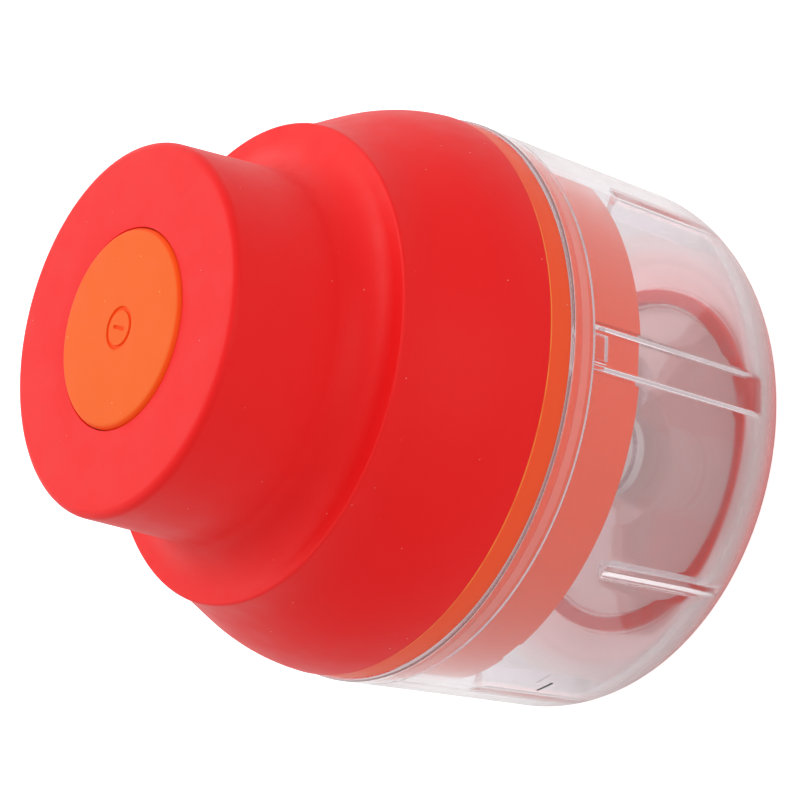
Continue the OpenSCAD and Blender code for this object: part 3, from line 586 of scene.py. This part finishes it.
def push_button():
    """The round button with a sunk on and off sign in its face."""
    skirt = 1.6
    flange_r = BUTTON_R + skirt
    inner = BUTTON_R - skirt
    flange = 99.1
    foot = 97.7
    guide = 99.45
    guide_r = 6.8
    guide_out_r = 7.6
    stem = 90.25
    stem_r = 1.9
    line = rounded([
        (0, BUTTON_Z, 0), (BUTTON_R, BUTTON_Z, 1), (BUTTON_R, flange, 0), (flange_r, flange, 0),
        (flange_r, foot, 0), (inner, foot, 0), (inner, BUTTON_INSIDE_Z, 0),
        (guide_out_r, BUTTON_INSIDE_Z, 0), (guide_out_r, guide, 0), (guide_r, guide, 0),
        (guide_r, BUTTON_INSIDE_Z, 0), (stem_r, BUTTON_INSIDE_Z, 0), (stem_r, stem, 0), (0, stem, 0)])
    piece = lathe("push_button", line)
    low = BUTTON_Z - 0.3
    high = BUTTON_Z + 0.5
    groove = lathe("groove", [(2.75, low), (3.3, low), (3.5, high), (2.55, high), (2.75, low)], 60)
    bar = slab((0.6, 3.1, 0.8), (0, 0, BUTTON_Z + 0.1), edge=0.25, along=2)
    combine(piece, [groove, bar], "DIFFERENCE")
    smooth_again(piece)
    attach(piece, "button")
    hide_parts("button_cap")
    return piece


def coil_spring():
    """The coil under the button."""
    wire = 0.4
    radius = 6
    turns = 6
    low = SPRING_Z + 0.45
    high = 100.2
    bpy.ops.object.select_all(action="DESELECT")
    bpy.ops.mesh.primitive_circle_add(vertices=12, radius=wire * MM, location=(radius * MM, 0, low * MM),
                                      rotation=(math.radians(90), 0, 0))
    piece = bpy.context.object
    name_piece(piece, "coil_spring")
    bpy.ops.object.transform_apply(location=True, rotation=True, scale=True)
    coil = piece.modifiers.new("coil", "SCREW")
    coil.iterations = turns
    coil.steps = 36
    coil.screw_offset = (high - low) / turns * MM
    bpy.ops.object.modifier_apply(modifier=coil.name)
    bpy.ops.object.mode_set(mode="EDIT")
    bpy.ops.mesh.select_all(action="SELECT")
    bpy.ops.mesh.fill_holes(sides=0)
    close_up()
    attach(piece, "head")
    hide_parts("button_spring")
    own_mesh(piece)
    return piece


def port_flap():
    """The soft flap over the charging socket, hung from a barrel along its top."""
    low = HINGE_Z - FLAP_HEIGHT
    piece = slab((FLAP_WIDTH, 3, FLAP_HEIGHT), (0, FLAP_Y + 1.5, low + FLAP_HEIGHT / 2), edge=0.6, along=1)
    name_piece(piece, "port_flap")
    only(piece)
    bpy.ops.object.mode_set(mode="EDIT")
    strips = 12
    front = 29
    for i in range(1, strips):
        bpy.ops.mesh.select_all(action="SELECT")
        place = (-FLAP_WIDTH / 2 + FLAP_WIDTH * i / strips) * MM
        bpy.ops.mesh.bisect(plane_co=(place, 0, 0), plane_no=(1, 0, 0))
    bpy.ops.object.mode_set(mode="OBJECT")
    for point in piece.data.vertices:
        if point.co.y > front * MM:
            point.co.y = math.sqrt((FLAP_FACE_R * MM) ** 2 - point.co.x ** 2)
    barrel = peg(BARREL_R, -FLAP_WIDTH / 2, FLAP_WIDTH / 2, (0, 0))
    barrel.rotation_euler = (0, math.radians(90), 0)
    barrel.location = (0, HINGE_Y * MM, HINGE_Z * MM)
    lip = slab((5, 0.9, 0.7), (0, 29.05, low + 0.75), edge=0.3)
    combine(piece, [barrel, lip], "UNION")
    edges = piece.modifiers.new("edges", "BEVEL")
    edges.width = 0.18 * MM
    edges.segments = 3
    edges.limit_method = "ANGLE"
    edges.angle_limit = math.radians(50)
    only(piece)
    bpy.ops.object.modifier_apply(modifier=edges.name)
    smooth_again(piece)
    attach(piece, "cover")
    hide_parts("port_cover")
    return piece


# Shared effects

# Where a mix node keeps its two ends and its result
MIX_SOCKETS = {"FLOAT": (2, 3, 0), "RGBA": (6, 7, 2)}


def effect(name, inputs, outputs):
    """A shader group whose sockets are given as (name, kind, value)."""
    group = bpy.data.node_groups.new(name, "ShaderNodeTree")
    for label, kind, value in inputs:
        socket = group.interface.new_socket(label, in_out="INPUT", socket_type="NodeSocket" + kind)
        socket.default_value = value
    for label, kind in outputs:
        group.interface.new_socket(label, in_out="OUTPUT", socket_type="NodeSocket" + kind)
    return group, group.nodes.new("NodeGroupInput"), group.nodes.new("NodeGroupOutput")


def set_up(tree, kind, **settings):
    """A new shader node with its settings."""
    node = tree.nodes.new("ShaderNode" + kind)
    for key, value in settings.items():
        setattr(node, key, value)
    return node


def feed(tree, socket, given):
    """Link a socket to another one, or give it a value."""
    if isinstance(given, bpy.types.NodeSocket):
        tree.links.new(given, socket)
    else:
        socket.default_value = given


def calculate(tree, operation, *given):
    """The result of a math node whose inputs are sockets or numbers."""
    node = set_up(tree, "Math", operation=operation)
    for socket, value in zip(node.inputs, given):
        feed(tree, socket, value)
    return node.outputs[0]


def carry(tree, value, span, onto=(0, 1), eased=False):
    """A value carried from one span over to another and held at both ends."""
    node = set_up(tree, "MapRange", interpolation_type="SMOOTHSTEP" if eased else "LINEAR")
    for label, number in zip(("From Min", "From Max", "To Min", "To Max"), span + onto):
        node.inputs[label].default_value = number
    feed(tree, node.inputs["Value"], value)
    return node.outputs["Result"]


def mix(tree, kind, share, under, over):
    """Two numbers or two colours mixed by a share, each a socket or a value."""
    node = set_up(tree, "Mix", data_type=kind)
    first, second, result = MIX_SOCKETS[kind]
    feed(tree, node.inputs[0], share)
    feed(tree, node.inputs[first], under)
    feed(tree, node.inputs[second], over)
    return node.outputs[result]


def noise(tree, place, scale, detail):
    """The level of a cloudy pattern at a place."""
    node = set_up(tree, "TexNoise")
    node.inputs["Detail"].default_value = detail
    feed(tree, node.inputs["Vector"], place)
    feed(tree, node.inputs["Scale"], scale)
    return node.outputs["Fac"]


def on_piece(tree):
    """The place of a point on its piece, in metres."""
    return set_up(tree, "TexCoord").outputs["Object"]


def height_on(tree):
    """The height of a point on its piece."""
    parts = set_up(tree, "SeparateXYZ")
    feed(tree, parts.inputs[0], on_piece(tree))
    return parts.outputs["Z"]


def reach_on(tree):
    """The distance of a point from the upright axis."""
    flat = set_up(tree, "VectorMath", operation="MULTIPLY")
    flat.inputs[1].default_value = (1, 1, 0)
    feed(tree, flat.inputs[0], on_piece(tree))
    reach = set_up(tree, "VectorMath", operation="LENGTH")
    feed(tree, reach.inputs[0], flat.outputs["Vector"])
    return reach.outputs["Value"]


def screen(red, green, blue):
    """A colour given as it looks on a screen, from 0 to 255."""
    parts = [c / 255 for c in (red, green, blue)]
    return [p / 12.92 if p < 0.04045 else ((p + 0.055) / 1.055) ** 2.4 for p in parts] + [1]


def make_drift():
    """Slow changes of a moulding's colour."""
    group, given, result = effect("colour_drift", [
        ("Colour", "Color", (1, 1, 1, 1)), ("Scale", "Float", 40), ("Amount", "Float", 0.05)],
        [("Colour", "Color")])
    clouds = noise(group, on_piece(group), given.outputs["Scale"], detail=3)
    swing = calculate(group, "SUBTRACT", clouds, 0.5)
    shade = set_up(group, "HueSaturation")
    feed(group, shade.inputs["Value"],
         calculate(group, "MULTIPLY_ADD", swing, given.outputs["Amount"], 1))
    feed(group, shade.inputs["Color"], given.outputs["Colour"])
    feed(group, result.inputs["Colour"], shade.outputs["Color"])
    return group


def make_specks():
    """Sparse specks of dust on a surface, each about a fifth of a millimetre wide."""
    group, given, result = effect("dust_specks", [("Scale", "Float", 900), ("Share", "Float", 0.05)],
                                  [("Mask", "Float")])
    cells = set_up(group, "TexVoronoi")
    feed(group, cells.inputs["Vector"], on_piece(group))
    feed(group, cells.inputs["Scale"], given.outputs["Scale"])
    near = carry(group, cells.outputs["Distance"], (0.12, 0.05))
    parts = set_up(group, "SeparateColor")
    feed(group, parts.inputs["Color"], cells.outputs["Color"])
    chosen = calculate(group, "LESS_THAN", parts.outputs[0], given.outputs["Share"])
    feed(group, result.inputs["Mask"], calculate(group, "MULTIPLY", near, chosen))
    return group


def make_grain():
    """Fine grain of a moulded or cast surface, as a height and as a mask."""
    group, given, result = effect("surface_grain", [
        ("Scale", "Float", 2500), ("Peel", "Float", 0.3)], [("Height", "Float"), ("Mask", "Float")])
    place = on_piece(group)
    fine = noise(group, place, given.outputs["Scale"], detail=2)
    broad = noise(group, place, 260, detail=1)
    feed(group, result.inputs["Height"],
         calculate(group, "MULTIPLY_ADD", broad, given.outputs["Peel"], fine))
    feed(group, result.inputs["Mask"], broad)
    return group


def make_strokes():
    """Fine strokes left by grinding or drawing, long in one direction."""
    group, given, result = effect("ground_strokes", [
        ("Stretch", "Vector", (60, 2400, 2400))], [("Height", "Float")])
    fit = set_up(group, "Mapping")
    feed(group, fit.inputs["Vector"], on_piece(group))
    feed(group, fit.inputs["Scale"], given.outputs["Stretch"])
    feed(group, result.inputs["Height"], noise(group, fit.outputs["Vector"], 1, detail=3))
    return group


DRIFT = make_drift()
SPECKS = make_specks()
GRAIN = make_grain()
STROKES = make_strokes()


# Materials


def start_material(name):
    """A new material with its tree and its shader."""
    finish = bpy.data.materials.new(name)
    finish.use_nodes = True
    tree = finish.node_tree
    return finish, tree, tree.nodes["Principled BSDF"]


def use(tree, group, **values):
    """A shared effect placed in a material, with its values."""
    node = tree.nodes.new("ShaderNodeGroup")
    node.node_tree = group
    for key, value in values.items():
        node.inputs[key].default_value = value
    return node


def vary_roughness(tree, shader, mask, low, high):
    """Let the roughness follow a noisy mask between two limits."""
    feed(tree, shader.inputs["Roughness"], carry(tree, mask, (0.3, 0.7), (low, high)))


def raise_grain(tree, shader, height, strength, distance):
    """Lift a surface by a height, over a distance in millimetres."""
    bump = set_up(tree, "Bump")
    bump.inputs["Strength"].default_value = strength
    bump.inputs["Distance"].default_value = distance * MM
    feed(tree, bump.inputs["Height"], height)
    feed(tree, shader.inputs["Normal"], bump.outputs["Normal"])


def moulding(name, tint, rough, grain=2500, bump=0.25, drift=0.06, dust=0.0, dust_tint=None, shine=0.5):
    """A moulded plastic or rubber."""
    finish, tree, shader = start_material(name)
    shader.inputs["Specular IOR Level"].default_value = shine
    shown = use(tree, DRIFT, Colour=tint, Amount=drift).outputs["Colour"]
    if dust:
        specks = use(tree, SPECKS, Share=dust)
        shown = mix(tree, "RGBA", specks.outputs["Mask"], shown, dust_tint)
    feed(tree, shader.inputs["Base Color"], shown)
    surface = use(tree, GRAIN, Scale=grain)
    vary_roughness(tree, shader, surface.outputs["Mask"], *rough)
    raise_grain(tree, shader, surface.outputs["Height"], bump, 0.02)
    return finish


def tint_band(finish, low, high, soft, tint, patchy=False):
    """Tint a finish between two heights on the piece, given in millimetres."""
    tree = finish.node_tree
    shader = tree.nodes["Principled BSDF"]
    under = shader.inputs["Base Color"].links[0].from_socket
    height = height_on(tree)
    rise = carry(tree, height, ((low - soft) * MM, low * MM), eased=True)
    fall = carry(tree, height, ((high + soft) * MM, high * MM), eased=True)
    band = calculate(tree, "MULTIPLY", rise, fall)
    if patchy:
        share = carry(tree, use(tree, GRAIN).outputs["Mask"], (0.35, 0.55), (0.4, 1))
        band = calculate(tree, "MULTIPLY", share, band)
    feed(tree, shader.inputs["Base Color"], mix(tree, "RGBA", band, under, tint))


def metal(name, tint, rough, stretch, bump=0.15, drift=0.05):
    """A bare or plated metal with fine strokes."""
    finish, tree, shader = start_material(name)
    shader.inputs["Metallic"].default_value = 1
    colour = use(tree, DRIFT, Colour=tint, Amount=drift, Scale=90)
    feed(tree, shader.inputs["Base Color"], colour.outputs["Colour"])
    lines = use(tree, STROKES, Stretch=stretch)
    vary_roughness(tree, shader, lines.outputs["Height"], *rough)
    raise_grain(tree, shader, lines.outputs["Height"], bump, 0.01)
    return finish


def soften_corner(tree, shader, mask):
    """Leave the bowl's thick base corner less polished than its walls and floor."""
    outward = carry(tree, reach_on(tree), (28 * MM, 40 * MM), eased=True)
    low = carry(tree, height_on(tree), (20 * MM, 4 * MM), eased=True)
    rough = carry(tree, calculate(tree, "MULTIPLY", outward, low), (0, 1), (0.02, 0.3))
    feed(tree, shader.inputs["Roughness"], calculate(tree, "MULTIPLY_ADD", mask, 0.03, rough))


def paint_glow_in_long_paths(tree, shader):
    """Painted glow: where light has bounced long inside the plastic, the surface glows a soft tone, redder
    on the wall beside the plug as a painted reflection of it.
    """
    last_bounce = 2.5
    painted_glow_tone = (0.2, 0.165, 0.17, 1)
    painted_plug_reflection = (0.1, 0.042, 0.04, 1)
    height = height_on(tree)
    upright = calculate(tree, "MULTIPLY_ADD", height, -WALL_SLOPE, reach_on(tree))
    wall = calculate(tree, "GREATER_THAN", upright, (wall_r(WALL, 0) - 0.1) * MM)
    beside_plug = calculate(tree, "GREATER_THAN", height, PLUG_Z * MM)
    around = mix(tree, "RGBA", calculate(tree, "MULTIPLY", wall, beside_plug), painted_glow_tone, painted_plug_reflection)
    rays = set_up(tree, "LightPath")
    late = calculate(tree, "GREATER_THAN", rays.outputs["Glossy Depth"], last_bounce)
    feed(tree, shader.inputs["Emission Color"], mix(tree, "RGBA", late, (0, 0, 0, 1), around))
    shader.inputs["Emission Strength"].default_value = 1


def clear_moulding():
    """The bowl's clear plastic, which lets lamps light what is in it."""
    finish, tree, shader = start_material("clear_moulding")
    colour = use(tree, DRIFT, Colour=(0.965, 0.945, 0.97, 1), Amount=0.01)
    feed(tree, shader.inputs["Base Color"], colour.outputs["Colour"])
    shader.inputs["Transmission Weight"].default_value = 1
    shader.inputs["IOR"].default_value = 1.52
    shader.inputs["Coat Weight"].default_value = 0.1
    surface = use(tree, GRAIN, Scale=900, Peel=0.6)
    # Painted shade at the base: a mauve tint standing in for the shadowed floor under the bowl and the red
    # light the lid throws there
    tint_band(finish, -1, 4.5, 1.5, (1, 0.74, 0.735, 1))
    # Painted shade in the thick base corner: a grey-mauve band
    tint_band(finish, 6.5, 11, 2.5, (0.88, 0.84, 0.85, 1))
    soften_corner(tree, shader, surface.outputs["Mask"])
    raise_grain(tree, shader, surface.outputs["Height"], 0.04, 0.01)
    # Painted glow in long paths through the bowl, with a painted reflection of the plug on the wall beside
    # it
    paint_glow_in_long_paths(tree, shader)
    rays = set_up(tree, "LightPath")
    through = set_up(tree, "BsdfTransparent")
    through.inputs["Color"].default_value = (0.99, 0.985, 0.99, 1)
    choice = set_up(tree, "MixShader")
    feed(tree, choice.inputs["Fac"], rays.outputs["Is Shadow Ray"])
    feed(tree, choice.inputs[1], shader.outputs["BSDF"])
    feed(tree, choice.inputs[2], through.outputs["BSDF"])
    feed(tree, tree.nodes["Material Output"].inputs["Surface"], choice.outputs["Shader"])
    return finish


def shell_red():
    """Satin red shell with a soft bloom at grazing angles."""
    finish = moulding("shell_red", (0.92, 0.007, 0.0075, 1), (0.42, 0.49), grain=3200, bump=0.3,
                      drift=0.05, dust=0.035, dust_tint=(0.95, 0.35, 0.3, 1), shine=0.23)
    shader = finish.node_tree.nodes["Principled BSDF"]
    shader.inputs["Sheen Weight"].default_value = 0.06
    shader.inputs["Sheen Roughness"].default_value = 0.35
    shader.inputs["Sheen Tint"].default_value = (1, 0.75, 0.78, 1)
    return finish


def board_mask():
    """Green board with lighter copper tracks under the varnish."""
    finish, tree, shader = start_material("board_mask")
    tracks = set_up(tree, "TexBrick")
    tracks.inputs["Scale"].default_value = 300
    tracks.inputs["Color1"].default_value = screen(24, 92, 52)
    tracks.inputs["Color2"].default_value = screen(28, 100, 58)
    tracks.inputs["Mortar"].default_value = screen(52, 138, 80)
    tracks.inputs["Mortar Size"].default_value = 0.03
    feed(tree, tracks.inputs["Vector"], on_piece(tree))
    feed(tree, shader.inputs["Base Color"], tracks.outputs["Color"])
    raise_grain(tree, shader, tracks.outputs["Fac"], 0.3, 0.03)
    surface = use(tree, GRAIN)
    vary_roughness(tree, shader, surface.outputs["Mask"], 0.25, 0.35)
    return finish


def copper_turns():
    """Enamelled copper wire laid in turns."""
    finish, tree, shader = start_material("copper_turns")
    shader.inputs["Metallic"].default_value = 0.9
    turns = set_up(tree, "TexWave", wave_type="RINGS", rings_direction="Z")
    turns.inputs["Scale"].default_value = 600
    turns.inputs["Distortion"].default_value = 1.5
    turns.inputs["Detail"].default_value = 1
    feed(tree, turns.inputs["Vector"], on_piece(tree))
    shown = mix(tree, "RGBA", turns.outputs["Fac"], (0.30, 0.09, 0.03, 1), (0.75, 0.30, 0.11, 1))
    feed(tree, shader.inputs["Base Color"], shown)
    raise_grain(tree, shader, turns.outputs["Fac"], 0.8, 0.15)
    shader.inputs["Roughness"].default_value = 0.35
    return finish


clear = clear_moulding()
red = shell_red()
orange = moulding("plug_orange", (0.98, 0.09, 0.018, 1), (0.36, 0.42), dust=0.02,
                  dust_tint=(0.95, 0.5, 0.35, 1), shine=0.25)
tint_band(orange, SEAM_Z - 0.3, SEAM_Z + 0.1, 0.08, (1, 0.27, 0.04, 1), patchy=True)
button_orange = moulding("button_orange", (0.96, 0.145, 0.02, 1), (0.48, 0.56), grain=2200, bump=0.35,
                         drift=0.05, dust=0.08, dust_tint=(1, 0.55, 0.3, 1), shine=0.13)
# Painted light on the button's side and rounded edge: a deeper red-orange standing in for how that side is
# lit
tint_band(button_orange, 99, BUTTON_Z - 0.25, 0.2, (0.98, 0.085, 0.005, 1))
ring_red = moulding("silicone_red", (1, 0.035, 0.012, 1), (0.5, 0.6), grain=1800, bump=0.3, shine=0.3)
flap_red = moulding("flap_red", (0.84, 0.008, 0.008, 1), (0.5, 0.6), grain=1800, bump=0.4, shine=0.25)
seal_orange = moulding("seal_orange", (0.98, 0.19, 0.12, 1), (0.45, 0.55), grain=1800)
white = moulding("white_moulding", (0.78, 0.77, 0.75, 1), (0.3, 0.38), drift=0.03)
black = moulding("black_moulding", (0.02, 0.02, 0.022, 1), (0.4, 0.5))
rubber = moulding("black_rubber_seal", (0.03, 0.03, 0.03, 1), (0.6, 0.7), bump=0.4)
ink = moulding("level_ink", (0.03, 0.028, 0.03, 1), (0.45, 0.55), bump=0.1)
wrap = moulding("cell_sleeve", screen(52, 110, 176), (0.2, 0.26), bump=0.05, drift=0.04)
red_wire = moulding("lead_red", screen(196, 30, 26), (0.35, 0.42))
blue_wire = moulding("lead_blue", screen(38, 62, 170), (0.35, 0.42))
carbon = moulding("brush_carbon", (0.06, 0.055, 0.055, 1), (0.5, 0.65), grain=1400, bump=0.6)
ferrite = moulding("magnet_ferrite", (0.045, 0.045, 0.05, 1), (0.5, 0.6), grain=1600, bump=0.5)
blade_steel = metal("blade_steel", (0.62, 0.63, 0.65, 1), (0.16, 0.3), (2600, 120, 2600), bump=0.2)
turned_steel = metal("turned_steel", (0.60, 0.60, 0.61, 1), (0.2, 0.34), (500, 500, 5000))
screw_steel = metal("screw_steel", (0.50, 0.50, 0.51, 1), (0.25, 0.4), (900, 900, 900))
zinc = metal("zinc_plate", (0.58, 0.60, 0.63, 1), (0.3, 0.45), (700, 700, 700), bump=0.2, drift=0.12)
core = metal("core_sheets", (0.32, 0.33, 0.35, 1), (0.35, 0.5), (200, 200, 9000), bump=0.5)
bronze = metal("bearing_bronze", (0.62, 0.38, 0.17, 1), (0.3, 0.42), (1400, 1400, 1400), bump=0.25)
copper = metal("bar_copper", (0.78, 0.36, 0.18, 1), (0.22, 0.35), (3000, 3000, 80), bump=0.2)
nickel = metal("nickel_strip", (0.66, 0.64, 0.60, 1), (0.2, 0.32), (120, 2600, 2600))
turns_copper = copper_turns()
board_green = board_mask()

NODE_FINISH = {
    "spindle_pin": turned_steel, "hub_bush": bronze, "blade_hub": white, "blade_spacers": white,
    "hub_collar": white, "drive_coupling": white, "switch_plunger": white, "lower_blade": blade_steel,
    "middle_blade": blade_steel, "upper_blade": blade_steel, "sealing_ring": seal_orange,
    "shaft_seal": rubber, "housing_screws": screw_steel, "mount_screws": screw_steel,
    "motor_screws": screw_steel, "board_screws": screw_steel, "motor_shaft": turned_steel,
    "motor_can": zinc, "motor_mount": zinc, "motor_end_cap": black,
    "motor_magnets": ferrite, "motor_bearings": bronze, "brushes": carbon, "rotor_core": core,
    "rotor_windings": turns_copper, "commutator": copper, "battery_cell": wrap,
    "battery_tabs": nickel, "battery_cradle": black, "battery_leads": red_wire,
    "motor_leads": blue_wire, "circuit_board": board_green, "board_components": black,
    "switch_body": black, "usb_socket": nickel,
}


# Camera, stage and light

# The view in degrees and metres, and where its aim shows in a picture of 800 pixels
TILT = 34.98
ROLL = -75.55
DISTANCE = 0.6554
AIM = Vector((0, 0, 0.05551))
AIM_ACROSS = 367.1
AIM_DOWN = 391.4
MIDDLE = 399.5
PICTURE = 800
FOCAL = 4200


def make_camera():
    """The photograph's view, a long lens from above that is rolled on its side."""
    look = Vector((0, cosd(TILT), -sind(TILT)))
    side = Vector((1, 0, 0))
    rise = side.cross(look)
    right = cosd(ROLL) * side + sind(ROLL) * rise
    up = cosd(ROLL) * rise - sind(ROLL) * side
    offset = Vector(((AIM_ACROSS - MIDDLE) / FOCAL, (MIDDLE - AIM_DOWN) / FOCAL, 1)).normalized()
    turn = Vector((0, 0, 1)).rotation_difference(offset).to_matrix()
    basis = Matrix((right, up, look)).transposed() @ turn.transposed()
    lens = bpy.data.cameras.new("camera")
    lens.sensor_width = 36
    lens.lens = FOCAL / PICTURE * lens.sensor_width
    lens.clip_start = 0.05
    camera = bpy.data.objects.new("camera", lens)
    bpy.context.scene.collection.objects.link(camera)
    stand = Matrix((basis.col[0], basis.col[1], -basis.col[2])).transposed().to_4x4()
    stand.translation = AIM - DISTANCE * look
    camera.matrix_world = stand
    bpy.context.scene.camera = camera


def shown_directly(tree, rays):
    """A mask of the rays that show a backdrop: from the camera, a gloss or a glass."""
    first = calculate(tree, "MAXIMUM", rays["Is Camera Ray"], rays["Is Glossy Ray"])
    return calculate(tree, "MAXIMUM", first, rays["Is Transmission Ray"])


def make_stage():
    """A wide pale floor, which glows in what the camera, glosses and glass show of it."""
    glow = 0.17
    more_for_camera = 0.58
    bpy.ops.object.select_all(action="DESELECT")
    bpy.ops.mesh.primitive_plane_add(size=8)
    floor = bpy.context.object
    floor.name = "studio_floor"
    finish, tree, shader = start_material("studio_floor")
    shader.inputs["Base Color"].default_value = (0.8, 0.8, 0.8, 1)
    shader.inputs["Roughness"].default_value = 1
    shader.inputs["Specular IOR Level"].default_value = 0
    shader.inputs["Emission Color"].default_value = (1, 1, 1, 1)
    rays = set_up(tree, "LightPath").outputs
    lift = calculate(tree, "MULTIPLY", shown_directly(tree, rays), glow)
    feed(tree, shader.inputs["Emission Strength"],
         calculate(tree, "MULTIPLY_ADD", rays["Is Camera Ray"], more_for_camera, lift))
    floor.data.materials.append(finish)


def make_light():
    """A white room, brighter above and behind in what glosses show, and two round lamps."""
    world = bpy.data.worlds.new("studio")
    world.use_nodes = True
    tree = world.node_tree
    sky = tree.nodes["Background"]
    sky.inputs["Color"].default_value = (1, 1, 1, 1)
    toward = set_up(tree, "VectorMath", operation="DOT_PRODUCT")
    toward.inputs[1].default_value = Vector((0.2, 0.6, 0.77)).normalized()
    feed(tree, toward.inputs[0], set_up(tree, "TexCoord").outputs["Generated"])
    glow = carry(tree, toward.outputs["Value"], (-0.3, 0.85), (0.15, 1.65), eased=True)
    rays = set_up(tree, "LightPath").outputs
    level = mix(tree, "FLOAT", rays["Is Glossy Ray"], 0.62, glow)
    seen = calculate(tree, "MAXIMUM", level, rays["Is Camera Ray"])
    feed(tree, sky.inputs["Strength"],
         calculate(tree, "MAXIMUM", seen, rays["Is Transmission Ray"]))
    bpy.context.scene.world = world
    for name, place, size, power in (("key", (0.2, 0.4, 1.05), 0.8, 4.2),
                                     ("fill", (0.35, -0.95, 0.45), 0.9, 1.9)):
        lamp = bpy.data.lights.new(name, "AREA")
        lamp.shape = "DISK"
        lamp.size = size
        lamp.energy = power
        holder = bpy.data.objects.new(name, lamp)
        holder.location = place
        aim = Vector((0, 0, 0.06)) - Vector(place)
        holder.rotation_euler = aim.to_track_quat("-Z", "Y").to_euler()
        bpy.context.scene.collection.objects.link(holder)


make_camera()
make_stage()
make_light()
bpy.context.scene.view_settings.view_transform = "Standard"

for piece, finish in ((clear_bowl(), clear), (base_ring(), ring_red), (level_mark(), ink),
                      (housing_shell(), red), (lid_plug(), orange), (push_button(), button_orange),
                      (port_flap(), flap_red), (coil_spring(), turned_steel)):
    piece.data.materials.clear()
    piece.data.materials.append(finish)
for node, finish in NODE_FINISH.items():
    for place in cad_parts[node].material_slots:
        place.material = finish
